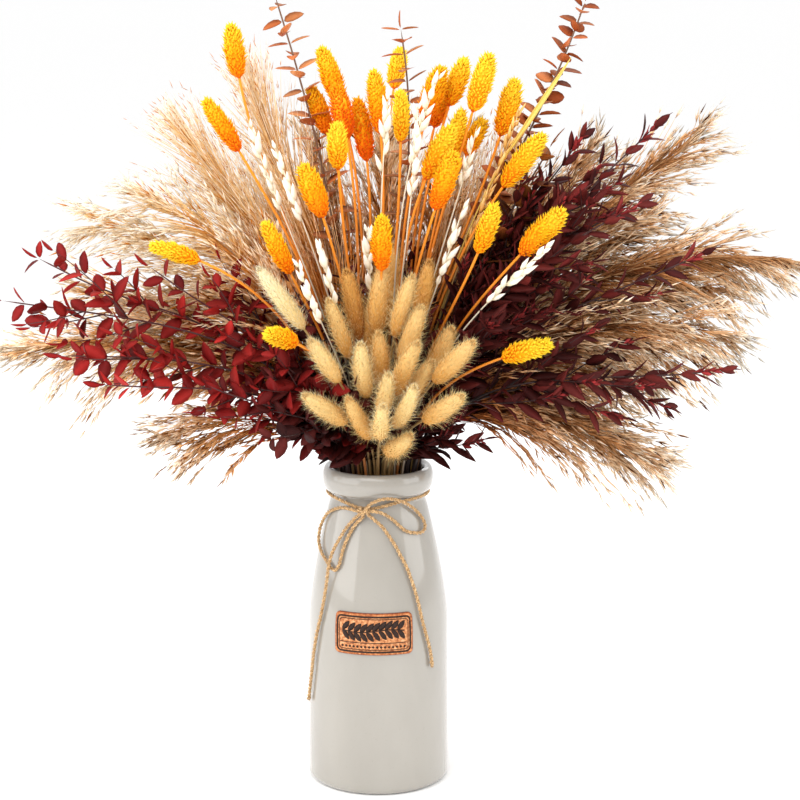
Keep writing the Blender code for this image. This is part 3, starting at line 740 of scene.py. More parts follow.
LABEL_WIDTH = 49.0
LABEL_HEIGHT = 26.0
LABEL_THICKNESS = 1.3
LABEL_CORNER = 3.2
LABEL_TURN = math.radians(-3.4)
LABEL_MIDDLE = 104.0
LABEL_GAP = 0.3
LABEL_CROWN = 1.6  # width of the label's rounded edge
LABEL_EDGE = 0.45  # thickness of its very edge, as a share
LABEL_MESH = (61, 31)
LABEL_GATHER = 0.35  # how much the mesh's columns gather at the label's ends
WORN_BORDER = 8.0  # how far from the edge the colours of wear are spread
BORDERS = ((2.1, 0.58), (3.5, 0.24))  # inset and half width of each printed line
BORDER_CORNER = 3.6
DIVIDER_HEIGHT = -5.2
SPRIG_REACH = 19.0
SPRIG_HEIGHT = 2.2
SPRIG_WAVE = 1.0
SPRIG_PAIRS = 10
SPRIG_LEAF = (7.4, 3.5)
SPRIG_LEAF_WAY = (3.0, 3.8)
PRINT_LIFT = 0.05
LOZENGES = 17
LOZENGE_HEIGHT = -7.7
LOZENGE_HALF = 0.95


def on_label(along, height, off):
    """The point of the label's sheet at a distance round the vase, a height and a distance off it."""
    turn = LABEL_TURN + along / BODY_RADIUS
    radius = vase_radius(LABEL_MIDDLE + height) + LABEL_GAP + off
    return np.stack([radius * np.sin(turn), -radius * np.cos(turn), LABEL_MIDDLE + height], axis=-1)


def label_half_height(along):
    """Half the label's height at a distance round the vase, with round corners."""
    into = np.clip(np.abs(along) - (LABEL_WIDTH / 2 - LABEL_CORNER), 0.0, LABEL_CORNER)
    return LABEL_HEIGHT / 2 - LABEL_CORNER + np.sqrt(np.maximum(LABEL_CORNER**2 - into**2, 0.0))


def make_label():
    columns, rows = LABEL_MESH
    spread = np.sin(np.linspace(-1.0, 1.0, columns) * math.pi / 2)
    even = np.linspace(-1.0, 1.0, columns)
    along = 0.5 * LABEL_WIDTH * (LABEL_GATHER * spread + (1.0 - LABEL_GATHER) * even)
    level = np.sin(np.linspace(-1.0, 1.0, rows) * math.pi / 2)
    heights = label_half_height(along)[:, None] * level[None]
    along = np.broadcast_to(along[:, None], heights.shape)
    inward = np.minimum(LABEL_WIDTH / 2 - np.abs(along), label_half_height(along) - np.abs(heights))
    crown = np.sqrt(np.clip(1.0 - (1.0 - np.clip(inward / LABEL_CROWN, 0.0, 1.0)) ** 2, 0.0, 1.0))
    front = on_label(along, heights, LABEL_THICKNESS * (LABEL_EDGE + (1.0 - LABEL_EDGE) * crown))
    back = on_label(along, heights, 0.0)
    shape = Shape()
    count = columns * rows
    index = np.arange(count).reshape(columns, rows)
    a, b, c, d = index[:-1, :-1], index[1:, :-1], index[1:, 1:], index[:-1, 1:]
    sheet = np.concatenate([np.stack(half, -1).reshape(-1, 3) for half in ((a, b, c), (a, c, d))])
    rim = np.concatenate([index[:, 0], index[-1, 1:], index[-2::-1, -1], index[0, -2:0:-1]])
    after = np.roll(rim, -1)
    halves = ((rim + count, after + count, after), (rim + count, after, rim))
    wall = np.concatenate([np.stack(half, -1) for half in halves])
    faces = np.concatenate([sheet, sheet[:, ::-1] + count, wall])
    worn = np.concatenate([(inward / WORN_BORDER).ravel(), np.zeros(count)])
    shape.add(np.concatenate([front.reshape(-1, 3), back.reshape(-1, 3)]), faces, worn, 0.5)
    shape.make("leather_label", [leather_finish()], ["label"])


def rule(shape, outline, radius):
    """A printed line through points of the label, half sunk in the leather."""
    flat = np.column_stack([outline, np.zeros(len(outline))])
    flat = resample(flat, 0.8)
    points = on_label(flat[:, 0], flat[:, 1], LABEL_THICKNESS)
    sweep(shape, points[None], radius, 5, 0.5)


def sprig_height(along):
    return SPRIG_HEIGHT + SPRIG_WAVE * np.sin(along / SPRIG_REACH * math.pi)


def make_label_print():
    """A double border, a rule, a sprig of leaves above it and a row of lozenges below it."""
    shape = Shape()
    for inset, radius in BORDERS:
        right, top = LABEL_WIDTH / 2 - inset, LABEL_HEIGHT / 2 - inset
        corner = BORDER_CORNER - 0.5 * inset
        outline = []
        for quarter, (across, up) in enumerate(((1, 1), (-1, 1), (-1, -1), (1, -1))):
            for angle in (quarter + np.linspace(0.0, 1.0, 8)) * math.pi / 2:
                outline.append(
                    (across * (right - corner) + corner * math.cos(angle),
                     up * (top - corner) + corner * math.sin(angle))
                )
        rule(shape, np.array(outline + outline[:1]), radius)
    reach = LABEL_WIDTH / 2 - BORDERS[1][0] - 0.6
    rule(shape, np.array([(x, DIVIDER_HEIGHT) for x in (-reach, 0.0, reach)]), 0.26)
    stem = np.linspace(-SPRIG_REACH, SPRIG_REACH, 30)
    rule(shape, np.column_stack([stem, sprig_height(stem)]), 0.4)
    pairs = np.linspace(-SPRIG_REACH, SPRIG_REACH - 4.5, SPRIG_PAIRS)
    lift = LABEL_THICKNESS + PRINT_LIFT
    forward, outward = SPRIG_LEAF_WAY
    for side in (1.0, -1.0):
        feet = on_label(pairs, sprig_height(pairs), lift)
        ends = on_label(pairs + forward, sprig_height(pairs) + outward * side, lift)
        face = unit(feet * (1.0, 1.0, 0.0))
        blades(shape, feet, ends - feet, face, *SPRIG_LEAF, 0.5, bend=0.0, fold=0.0, thick=0.2)
    dots = np.linspace(-reach + 1.6, reach - 1.6, LOZENGES)
    height = np.full(LOZENGES, LOZENGE_HEIGHT)
    feet = on_label(dots - LOZENGE_HALF, height, LABEL_THICKNESS + 0.02)
    tips = on_label(dots + LOZENGE_HALF, height, LABEL_THICKNESS + 0.02)
    across = np.tile(UP, (LOZENGES, 1))
    pods(shape, feet, tips, LOZENGE_HALF, [(0.5, 1.0)], 4, 0.5, 0.5, flat=0.25, across=across)
    shape.make("label_print", [ink_finish()])


# The stems' middle lines

CUT_STEP = 3.0
FOOT_SLICE = 1.5  # a stem's foot is the middle of its points this far up from the lowest
HEAD_REACH = 30.0  # how far from the middle line a cut may lie
LEAFY_REACH = 2.4
SMOOTHINGS = 14
PLANTED_SMOOTHINGS = 3


def solid_of(name):
    """The points of a node, in millimetres, and the ends of its edges."""
    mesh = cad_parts[name].data
    points = np.empty(len(mesh.vertices) * 3)
    mesh.vertices.foreach_get("co", points)
    points = points.reshape(-1, 3) / MM
    edges = np.empty(len(mesh.edges) * 2, np.int32)
    mesh.edges.foreach_get("vertices", edges)
    return points, points[edges.reshape(-1, 2)]


def middle_line(name, reach):
    """A stem's middle line from foot to tip, found by cutting its solid every few millimetres."""
    points, ends = solid_of(name)
    centre = points[points[:, 2] < points[:, 2].min() + FOOT_SLICE].mean(axis=0)
    heading = UP
    line = [centre]
    while True:
        ahead = centre + CUT_STEP * heading
        sides = (ends - ahead) @ heading
        crossing = sides[:, 0] * sides[:, 1] < 0
        share = (sides[:, 0] / (sides[:, 0] - sides[:, 1] + 1e-12))[crossing, None]
        cuts = ends[crossing, 0] + share * (ends[crossing, 1] - ends[crossing, 0])
        cuts = cuts[np.linalg.norm(cuts - ahead, axis=1) < reach]
        if len(cuts) < 3:
            break
        found = cuts.mean(axis=0)
        heading = unit(0.5 * heading + 0.5 * unit(found - centre))
        centre = found
        line.append(centre)
    near = points[np.linalg.norm(points - centre, axis=1) < 4 * CUT_STEP]
    line.append(near[((near - centre) @ heading).argmax()])
    return smoothed(resample(np.array(line), CUT_STEP), SMOOTHINGS)


MOUTH_HEIGHT = 198.0
FEET_HEIGHT = 6.0
FEET_SPREAD = 1.25
MOUTH_REACH = 23.0
MOUTH_STRAY = 1.2
REACH_AT_RIM = 170.0  # a stem that leans out this far passes the mouth at its rim
LEAST_SHARE = 0.3  # of MOUTH_REACH
MOUTH_STRETCH = (1.0, 1.5)  # in x and y: the mouth is filled rounder than the flat bouquet
RISE = (0.35, 0.45)  # how much of a stem's way out shows in its first heading, in x and in y
ENDING_DEPTH = 0.6
LEAVING = 0.42  # how strongly a stem keeps its first heading, and the one at its tip
ARRIVING = 0.34


def planted_line(tip, lean, random):
    """Straight from the vase's floor to its mouth, then one bend out to the tip."""
    tip = np.array(tip, float)
    lean = math.radians(lean)
    share = min(1.0, LEAST_SHARE + np.linalg.norm(tip[:2]) / REACH_AT_RIM)
    spot = MOUTH_REACH * share * unit(tip[:2] * MOUTH_STRETCH)
    spot = spot + random.normal(0.0, MOUTH_STRAY, 2)
    mouth = np.array([*spot, MOUTH_HEIGHT])
    foot = np.array([*(spot * FEET_SPREAD), FEET_HEIGHT])
    reach = np.linalg.norm(tip - mouth)
    out = (tip - mouth) / reach
    rise = unit(np.array([RISE[0] * out[0], RISE[1] * out[1], 1.0]))
    ending = unit(np.array([math.sin(lean), ENDING_DEPTH * out[1], math.cos(lean)]))
    leave = mouth + LEAVING * reach * rise
    arrive = tip - ARRIVING * reach * ending
    t = np.linspace(0.0, 1.0, 50)[:, None]
    above = (1 - t) ** 3 * mouth + 3 * (1 - t) ** 2 * t * leave
    above = above + 3 * (1 - t) * t**2 * arrive + t**3 * tip
    return smoothed(resample(np.vstack([foot, above]), CUT_STEP), PLANTED_SMOOTHINGS)


STEM = 1  # number of a stem's finish, after that of its head or leaves
STEM_STEP = 9.0


def straw(shape, line, radius, tip_share, shade=0.5):
    """The bare stem, from its foot to the end of its line."""
    path = resample(line, STEM_STEP)
    taper = np.linspace(1.0, tip_share, len(path))
    sweep(shape, path[None], (radius * taper)[None], 6, shade, finish=STEM)


# Plumes

BRANCH_NODES = 6
CLEAR_OF_RIM = 32.0  # a plume's first branches leave its stem this far beyond the mouth
PLUME_FORMS = {
    # a brush, a fan and a loose plume
    "length": (190.0, 215.0, 165.0),
    "locks": (44, 100, 15),
    "branches": (320, 520, 72),
    # branch length at the widest part and at the tip
    "reach": ((86.0, 42.0), (128.0, 56.0), (70.0, 30.0)),
    # angle from the stem at the foot and at the tip
    "spread": ((0.50, 0.26), (0.50, 0.30), (0.34, 0.20)),
    "curl": (0.15, 0.03, 0.12),
    "hang": (0.5, 0.0, 0.15),  # how much the branches turn to the lower side
    "droop": (0.0017, 0.0002, 0.0010),
    "loose": (1.0, 0.6, 1.0),  # how much locks and branches wave and stray
    "strand": (0.34, 0.30, 0.26),
    "seed_step": (8.2, 21.0, 3.6),
    "seeds_from": (0.12, 0.3, 0.3),
    "seed_size": ((6.5, 12.0), (3.5, 7.0), (6.0, 10.0)),
    "seed_width": ((0.44, 0.78), (0.20, 0.34), (0.36, 0.60)),
    "dark_seeds": (0.06, 0.45, 0.15),
}
BRUSH, FAN, LOOSE = ({key: row[k] for key, row in PLUME_FORMS.items()} for k in range(3))
LOW_BRUSH = BRUSH | {"spread": (0.36, 0.22), "curl": 0.08, "hang": 0.0, "droop": 0.0008}
BRANCH_STRAY = {
    # how far branches stray from their locks, and how far a lock drifts
    "foot": 0.018, "spread": 0.035, "turn": 0.16, "end": 1.3, "shade": 0.22, "drift": 2.4,
}
WAVES = 5.0
LOCKS_UP_TO = 0.92  # share of a plume's length where its last lock starts
LAST_FOOT = 0.96
WIDEST_AT = 0.3
LOCK_SHADES = (0.1, 0.85)
SEED_STRAY = 0.18
SEED_SINKS = 0.08
SEED_PLACES = (0.0, 0.1, 0.1, 0.1, 0.3)  # how far on in its colours each point of a seed is
SEED_RIPENS = (0.04, 0.6, 0.72)  # at least, more at a branch's tip, and times the branch's own
DARK_PLACE = 0.1
DARK_TONE = 0.7
RIPENS = 0.42  # how much further on in its colours the tip of a plume is than its foot
THICKER = 0.42  # how much thicker the branches of a plume with fewer of them are, as a power


def plume(shape, line, random, look, fullness):
    """A stem with locks of fine branches round its upper part, each set with pointed seeds."""
    along = distances(line)
    past_mouth = along[np.argmax(line[:, 2] > MOUTH_HEIGHT)] + CLEAR_OF_RIM
    start = max(along[-1] - look["length"], past_mouth)
    straw(shape, line, 1.2, 0.2, 0.4)
    paths, lengths, shade, ripe = branches(line, start, random, look, fullness)
    thick = fullness**-THICKER
    strand = thick * look["strand"] * np.linspace(1.0, 0.5, BRANCH_NODES)
    sweep(shape, paths, strand, 3, shade, (ripe, 0.9))
    seeds(shape, paths, lengths, shade, ripe, random, look, thick)


def branches(line, start, random, look, fullness):
    """Middle lines, lengths, shades and first colours of a plume's branches, which lie in locks."""
    along = distances(line)
    length = along[-1] - start
    count = int(look["branches"] * fullness)
    locks = look["locks"]
    lock = np.arange(count) * locks // count
    lock_foot = (np.arange(locks) + random.uniform(0.0, 1.0, locks)) / locks
    foot = LOCKS_UP_TO * lock_foot[lock] ** 1.1 + random.normal(0.0, BRANCH_STRAY["foot"], count)
    foot = np.clip(foot, 0.0, LAST_FOOT)
    widest, last = look["reach"]
    lengths = np.interp(foot, [0.0, WIDEST_AT, 0.9], [0.9 * widest, widest, last])
    lengths = lengths * vary(random, "lock length", locks)[lock]
    lengths = lengths * vary(random, "branch length", count)
    lengths = np.minimum(lengths, (1.05 - foot) * length)
    spread = np.interp(foot, [0.0, 1.0], look["spread"]) * vary(random, "lock spread", locks)[lock]
    spread = np.abs(spread + random.normal(0.0, BRANCH_STRAY["spread"], count))
    turns = random.uniform(0.0, TAU, locks)[lock] + random.normal(0.0, BRANCH_STRAY["turn"], count)
    dense = resample(line, 2.0)
    tangent, side, other = framed_line(dense)
    shares = np.linspace(0.0, 1.0, BRANCH_NODES)
    where = start + foot[:, None] * length + lengths[:, None] * shares * np.cos(spread)[:, None]
    pick = np.clip((where / along[-1] * (len(dense) - 1)).astype(int), 0, len(dense) - 1)
    out = around(np.broadcast_to(turns[:, None], pick.shape), side[pick], other[pick])
    below = tangent[pick] * tangent[pick][..., 2:] - UP
    out = unit(out + look["hang"] * below)
    away = np.sin(spread)[:, None] * shares + look["curl"] * shares**2
    paths = at(line, along, where) + (lengths[:, None] * away)[..., None] * out
    paths[..., 2] -= look["droop"] * (lengths[:, None] * shares) ** 2
    waves = random.normal(0.0, 1.0, (locks, 1, 3))[lock] * np.sin(shares * WAVES)[None, :, None]
    drift = random.normal(0.0, BRANCH_STRAY["drift"], (locks, 1, 3))[lock]
    drift = drift * (shares**2)[None, :, None]
    stray = random.normal(0.0, BRANCH_STRAY["end"], (count, 1, 3)) * (shares**1.5)[None, :, None]
    shade = random.uniform(*LOCK_SHADES, locks)[lock]
    shade = shade + random.normal(0.0, BRANCH_STRAY["shade"], count)
    paths = paths + drift + look["loose"] * (waves + stray)
    return paths, lengths, np.clip(shade, 0.0, 1.0), RIPENS * foot


def seeds(shape, paths, lengths, shade, ripe, random, look, thick):
    """Slim pointed seeds along each branch, held close to it."""
    counts = np.maximum(3, (lengths / look["seed_step"]).astype(int))
    owner = np.repeat(np.arange(len(paths)), counts)
    share = random.uniform(0.0, 1.0, len(owner)) ** 0.85
    share = look["seeds_from"] + (1.0 - look["seeds_from"]) * share
    place = share * (BRANCH_NODES - 1)
    low = np.clip(place.astype(int), 0, BRANCH_NODES - 2)
    part = (place - low)[:, None]
    feet = (1 - part) * paths[owner, low] + part * paths[owner, low + 1]
    forward = unit(paths[owner, low + 1] - paths[owner, low])
    stray = random.normal(0.0, SEED_STRAY, feet.shape)
    stray[:, 2] -= SEED_SINKS
    tips = feet + unit(forward + stray) * random.uniform(*look["seed_size"], len(owner))[:, None]
    tone = np.clip(0.75 * shade[owner] + random.uniform(-0.15, 0.4, len(owner)), 0.0, 1.0)
    dark = random.uniform(0.0, 1.0, len(owner)) < look["dark_seeds"]
    first, outwards, upwards = SEED_RIPENS
    places = (first + outwards * share + upwards * ripe[owner])[:, None]
    places = places + np.array(SEED_PLACES)
    places[dark] = DARK_PLACE
    tone[dark] *= DARK_TONE
    radii = thick * random.uniform(*look["seed_width"], len(owner))
    pods(shape, feet, tips, radii, [(0.35, 1.0)], 3, tone, places)


# Leafy sprays

LEAF_FACING = np.array([0.0, -0.35, 0.25])  # the leaves turn a little to the light
FACING_STRAY = 0.45
PAIR_STRAY = 0.25
LEAF_SINKS = 0.10
LEAF_BENDS = (-0.05, 0.25)
LEAF_FOLD = 0.25
LEAVES_FROM = 209.0  # length of stem that stays bare inside the vase and just above it
RIM_LEAVES_FROM = 199.0
LEAF_LOOKS = {
    # spacing, length and width of the leaves, how far they open, how square and how forward they
    # are, how much they turn to the light, and how far on in its colours each of them is
    "broad": (13.0, (18.5, 9.8), 0.95, (0.72, 0.9), 1.0, (0.2, 0.9)),
    "slim": (10.8, (21.5, 7.2), 0.62, (0.85, 0.9), 1.0, (0.2, 0.9)),
    "buds": (3.4, (8.0, 2.9), 0.34, (0.85, 1.1), 1.0, (0.85, 1.2)),
    "copper": (7.4, (15.5, 9.6), 1.26, (0.60, 0.8), 0.55, (0.45, 1.0)),
    "rust": (4.9, (14.6, 11.0), 1.1, (0.56, 0.8), 1.3, (0.05, 0.65)),
    "brown": (14.0, (21.0, 11.5), 0.85, (0.66, 0.8), 0.8, (0.2, 0.9)),
}


def leafy_branch(shape, line, first, look, random, radius, scale=1.0, shrink=0.4):
    """Opposite pairs of leaves from a distance along a line to its tip, and one leaf at the tip."""
    spacing, leaf, opening, (fullness, middle), turned, ripening = LEAF_LOOKS[look]
    along = distances(line)
    places = np.arange(first, along[-1] - 1.0, spacing)
    count = len(places)
    places = places + random.uniform(-0.2, 0.2, count) * spacing
    length, width = (scale * size for size in leaf)
    tangent, side, other = framed_line(line)
    pick = np.clip(np.searchsorted(along, places), 1, len(line) - 1)
    quarter = np.arange(count) * math.pi / 2 + random.normal(0.0, PAIR_STRAY, count)
    size = 1.0 - shrink * np.clip((places - first) / max(along[-1] - first, 1.0), 0.0, 1.0) ** 2
    feet = at(line, along, places)
    for half in (0.0, math.pi):
        out = around(quarter + half, side[pick], other[pick])
        open_by = opening * vary(random, "leaf opening", count)[:, None]
        grow = np.cos(open_by) * tangent[pick] + np.sin(open_by) * out
        grow[:, 2] -= LEAF_SINKS
        face = np.sin(open_by) * tangent[pick] - np.cos(open_by) * out
        face = face + turned * (random.normal(0.0, FACING_STRAY, face.shape) + LEAF_FACING)
        each = size * vary(random, "leaf size", count)
        bend = random.uniform(*LEAF_BENDS, count)
        ripe = random.uniform(*ripening, (count, 1))
        tone = random.uniform(0.0, 1.0, count)
        blades(
            shape, feet + radius * out, grow, face, length * each, width * each, tone, bend=bend,
            fold=LEAF_FOLD, fullness=fullness, middle=middle, along=ripe,
        )
    last = 1.0 - shrink
    blades(
        shape, line[-1:], tangent[-1:], side[-1:], last * length, last * width, 0.6,
        fullness=fullness, middle=middle,
    )


SHOOT_NODES = 12
SHOOT_COURSE = (0.80, 0.58, 0.16)  # up the stem, off it, and how much of that it bends back
SHOOT_WANDER = 0.08


def side_shoot(line, along, place, turn, reach, random):
    """A thin shoot that leaves a stem and bends up beside it."""
    tangent, side, other = framed_line(line)
    pick = min(np.searchsorted(along, place), len(line) - 1)
    out = around(np.array(turn), side[pick], other[pick])
    t = np.linspace(0.0, 1.0, SHOOT_NODES)[:, None]
    wander = random.normal(0.0, SHOOT_WANDER, 3)
    up, off, back = SHOOT_COURSE
    course = t * (up * tangent[pick] + off * out + wander) - back * t**2 * out
    return line[pick] + reach * course


SHOOT_STARTS = (0.03, 0.16, 0.30, 0.45, 0.60)
SHOOT_REACH = (68.0, 44.0)  # of the lowest shoot, and how much shorter one at the tip would be
SHOOT_TURN = 2.4  # from one shoot round the stem to the next
SHOOT_BARE = 12.0
SHOOT_RADIUS = 0.5
SHOOT_LEAVES = 0.88  # size of a side shoot's leaves against the stem's own
BUDS_LENGTH = 15.0


def parvifolia(shape, line, random, leafy=185.0, shoots=5, bare=LEAVES_FROM):
    """A spray of small leaves with side shoots. Those on the right are slimmer and end in buds."""
    slim = line[-1, 0] > 0
    look = "slim" if slim else "broad"
    along = distances(line)
    leafy = min(leafy, along[-1] - bare)
    first = along[-1] - leafy
    straw(shape, line, 1.15, 0.4)
    leafy_branch(shape, line, first, look, random, 0.8)
    if slim:
        leafy_branch(shape, line, along[-1] - BUDS_LENGTH, "buds", random, 0.3)
    longest, shorter = SHOOT_REACH
    for number, start in enumerate(SHOOT_STARTS[:shoots]):
        reach = (longest - shorter * start) * vary(random, "shoot length")
        turn = SHOOT_TURN * number + random.uniform(0, 1)
        shoot = side_shoot(line, along, first + start * leafy, turn, reach, random)
        radii = SHOOT_RADIUS * np.linspace(1.0, 0.5, SHOOT_NODES)
        sweep(shape, shoot[None], radii[None], 4, 0.5, finish=STEM)
        leafy_branch(shape, shoot, SHOOT_BARE, look, random, 0.4, SHOOT_LEAVES)
        if slim:
            leafy_branch(shape, shoot, reach - BUDS_LENGTH, "buds", random, 0.3, 0.8)


def short_spray(shape, line, random):
    parvifolia(shape, line, random, leafy=90.0, shoots=4)


def rim_spray(shape, line, random):
    """A low spray whose leaves start inside the mouth."""
    parvifolia(shape, line, random, leafy=60.0, shoots=3, bare=RIM_LEAVES_FROM)


RUST_RIGHT_OF = 60.0


def eucalyptus(shape, line, random, leafy=150.0, look="copper"):
    """A thin stem with rounder leaves in pairs that stand well off it, closer set on the right."""
    along = distances(line)
    if look == "copper" and line[-1, 0] > RUST_RIGHT_OF:
        look = "rust"
    straw(shape, line, 1.1, 0.45)
    leafy_branch(shape, line, along[-1] - leafy, look, random, 0.7, shrink=0.3)


def brown_leaves(shape, line, random):
    eucalyptus(shape, line, random, leafy=80.0, look="brown")


# Heads

GOLDEN_TURN = math.pi * (3.0 - math.sqrt(5.0))
CORE = 0.84  # radius of a head's core against that of the head


def head_frame(line, length, count):
    """The last stretch of a line: its points and their frames."""
    along = distances(line)
    part = at(line, along, np.linspace(along[-1] - length, along[-1], count))
    return part, framed_line(part)


def stem_below(line, length):
    """A line without its last stretch, but for a little that stays inside the head."""
    return line[: -int(length / CUT_STEP) + 2]


def body_width(share, blunt, taper):
    """The half width of a head along it, as a share of the widest: 2 is an ellipse, more is blunter."""
    ends = np.abs(2.0 * np.clip(share, 0.004, 0.996) - 1.0)
    return np.sqrt(1.0 - ends**blunt) * (1.0 - taper * share)


def head_core(shape, part, radius, shade, blunt, taper=0.0, sides=10, along=(0.0, 1.0)):
    radii = radius * body_width(np.linspace(0.0, 1.0, len(part)), blunt, taper)
    sweep(shape, part[None], radii[None], sides, shade, along)


def surface_spots(part, axes, radius, count, random, blunt, taper=0.0):
    """Places all over a head: shares along it, points, outward, upward and square-on directions."""
    tangent, side, other = axes
    share = (np.arange(count) + random.uniform(0.0, 1.0, count)) / count
    turn = np.arange(count) * GOLDEN_TURN + random.normal(0.0, 0.1, count)
    place = share * (len(part) - 1)
    low = np.clip(place.astype(int), 0, len(part) - 2)
    centre = part[low] + (place - low)[:, None] * (part[low + 1] - part[low])
    out = around(turn, side[low], other[low])
    width = radius * body_width(share, blunt, taper)
    widening = (radius * body_width(share + 0.01, blunt, taper) - width) / 0.01
    length = np.linalg.norm(part[-1] - part[0])
    square = unit(out - (widening / length)[:, None] * tangent[low])
    return share, centre + width[:, None] * out, out, tangent[low], square


CANARY_LENGTH = 36.0
CANARY_COLOURS = (-0.1, 0.34)  # how far on in its colours a head is at its foot
CANARY_RIPENS = 0.62
CANARY_SMALLER = 0.8  # size of the heads that lie on their sides, stand at the back or are highest
CANARY_BACK = 60.0
CANARY_HIGH = 460.0
CANARY_RADIUS = 6.0
CANARY_BLUNT = 2.15
CANARY_SCALES = 330
SCALE_LENGTHS = (2.6, 4.8)
SCALE_RADIUS = 1.08
SCALE_SINKS = 0.6
SCALE_STRAY = 0.18
SCALE_LEAN = (0.85, 0.40)  # how far scales stand off at the head's foot, and how much less at its tip
SCALE_PLACES = (0.0, 0.14, 0.14, 0.14, 0.38)  # how far on in its colours each point of a scale is
CANARY_SHADED = 0.36  # how much redder the heads behind others are


def in_the_shade(tip):
    """Whether a tip is in the middle of the bouquet, behind its front stems and below its highest."""
    return abs(tip[0]) < 60.0 and tip[1] > -12.0 and tip[2] < 445.0


def canary_grass(shape, line, random, size=1.0):
    """An oval head of small pointed scales."""
    lying = unit(line[-1] - line[-4])[2] < 0.4
    smaller = lying or line[-1, 1] > CANARY_BACK or line[-1, 2] > CANARY_HIGH
    size *= CANARY_SMALLER if smaller else 1.0
    length = CANARY_LENGTH * size * vary(random, "canary length")
    radius = CANARY_RADIUS * min(size, 1.0) ** 0.5 * vary(random, "canary radius")
    straw(shape, stem_below(line, length), 1.0, 0.8)
    part, axes = head_frame(line, length, 14)
    head_core(shape, part, radius * CORE, 0.1, CANARY_BLUNT)
    spots = surface_spots(part, axes, radius * 0.8, CANARY_SCALES, random, CANARY_BLUNT)
    share, points, out, up, _ = spots
    off, less = SCALE_LEAN
    lean = up + (off - less * share)[:, None] * out
    lean = unit(lean + random.normal(0.0, SCALE_STRAY, out.shape))
    tips = points + lean * random.uniform(*SCALE_LENGTHS, len(points))[:, None]
    tone = np.clip(random.normal(0.55, 0.2, len(points)), 0.0, 1.0)
    ripe = random.uniform(*CANARY_COLOURS) - CANARY_SHADED * in_the_shade(line[-1])
    places = ripe + CANARY_RIPENS * share[:, None] + np.array(SCALE_PLACES)[None]
    across = np.cross(up, out)
    feet = points - SCALE_SINKS * out
    pods(shape, feet, tips, SCALE_RADIUS, [(0.42, 1.0)], 3, tone, places, across=across, flat=0.6)


def small_canary_grass(shape, line, random):
    canary_grass(shape, line, random, size=random.uniform(0.68, 0.98))


BUNNY_LENGTHS = (38.0, 53.0)
BUNNY_RADIUS = 6.8
BUNNY_BLUNT = 2.5
BUNNY_TAPER = 0.26
BUNNY_PALENESS = ((-95.0, -40.0), (0.34, 0.0))  # by how far forward the tip is
# how far on in the colours the tips of the core and of the hairs are beyond their feet; the darker feet
# and core are partly the head's own golden colour and partly painted shade among the hairs
CORE_COLOUR_RUN = 0.4
HAIR_COLOUR_RUN = 0.7
HAIR_STRAY = 0.22
BUNNY_LEFT_PALER = 0.3  # the tail furthest left is the palest
BUNNY_TIP_SHORTER = 0.5  # the nap round the tip is this much shorter
BUNNY_COAT = [
    # hairs, their radius, their lengths, how far they stand off the head and how pale they are
    (1000, 0.21, (3.2, 5.4), 0.24, 0.0), (200, 0.11, (6.0, 10.0), 0.85, 0.04),
]


def bunny_tail(shape, line, random):
    """A long soft head with a short nap and a few longer hairs."""
    length = random.uniform(*BUNNY_LENGTHS)
    straw(shape, stem_below(line, length), 0.95, 0.8)
    part, axes = head_frame(line, length, 16)
    radius = BUNNY_RADIUS * vary(random, "bunny radius")
    ripe = np.interp(line[-1, 1], *BUNNY_PALENESS) + random.uniform(-0.08, 0.08)
    ripe += BUNNY_LEFT_PALER * (line[-1, 0] < -60.0)
    colours = (ripe, CORE_COLOUR_RUN + ripe)
    # The core takes the darker start of the colours: painted shade in the gaps between the hairs
    head_core(shape, part, radius * CORE, 0.45, BUNNY_BLUNT, BUNNY_TAPER, sides=12, along=colours)
    for count, width, reach, lift, pale in BUNNY_COAT:
        spots = surface_spots(part, axes, radius * CORE, count, random, BUNNY_BLUNT, BUNNY_TAPER)
        share, points, _, up, square = spots
        lean = up * vary(random, "hair lean", (count, 1)) + lift * square
        lean = unit(lean + random.normal(0.0, HAIR_STRAY, up.shape))
        reach = random.uniform(*reach, count) * (1.0 - BUNNY_TIP_SHORTER * share**4)
        tips = points + lean * reach[:, None]
        tone = np.clip(random.normal(0.5, 0.28, count), 0.0, 1.0)
        paths = np.stack([points - 0.5 * square, tips], axis=1)
        sweep(shape, paths, width, 3, tone, (ripe + pale, HAIR_COLOUR_RUN + ripe))


EAR_GRAINS = [(0.2, 0.74), (0.46, 1.0), (0.78, 0.5)]
EAR_TURN = 2.3  # from one grain round the stem to the next
EAR_STRAY = 0.7


def ear(shape, line, random, length, step, grain, spread, missing):
    """A slim ear: plump pointed grains close to the stem on alternate sides, with some missing."""
    straw(shape, line, 0.75, 0.5)
    along = distances(line)
    places = np.arange(along[-1] - length, along[-1] - 2.0, step)
    places = places[random.uniform(0.0, 1.0, len(places)) > missing]
    count = len(places)
    _, side, other = framed_line(line)
    pick = np.clip(np.searchsorted(along, places), 1, len(line) - 1)
    tangent = unit(line[pick] - line[pick - 1])
    turn = np.arange(count) * EAR_TURN + random.normal(0.0, EAR_STRAY, count)
    out = around(turn, side[pick], other[pick])
    size = np.interp(places, [along[-1] - length, along[-1] - 0.4 * length, along[-1]], [0.9, 1.0, 0.6])
    size = size * vary(random, "grain size", count)
    feet = at(line, along, places) + 0.3 * out
    lean = unit(tangent + spread * vary(random, "grain spread", (count, 1)) * out)
    tips = feet + grain[0] * size[:, None] * lean
    tone = random.uniform(0.2, 0.9, count)
    across = np.cross(tangent, out)
    where = np.linspace(0.0, 1.0, 2 + 6 * len(EAR_GRAINS))[None]
    pods(shape, feet, tips, grain[1] * size, EAR_GRAINS, 6, tone, where, across=across, flat=0.75)


def white_ear(shape, line, random):
    length = random.uniform(38.0, 58.0)
    ear(shape, line, random, length, step=3.3, grain=(12.4, 2.3), spread=0.26, missing=0.2)


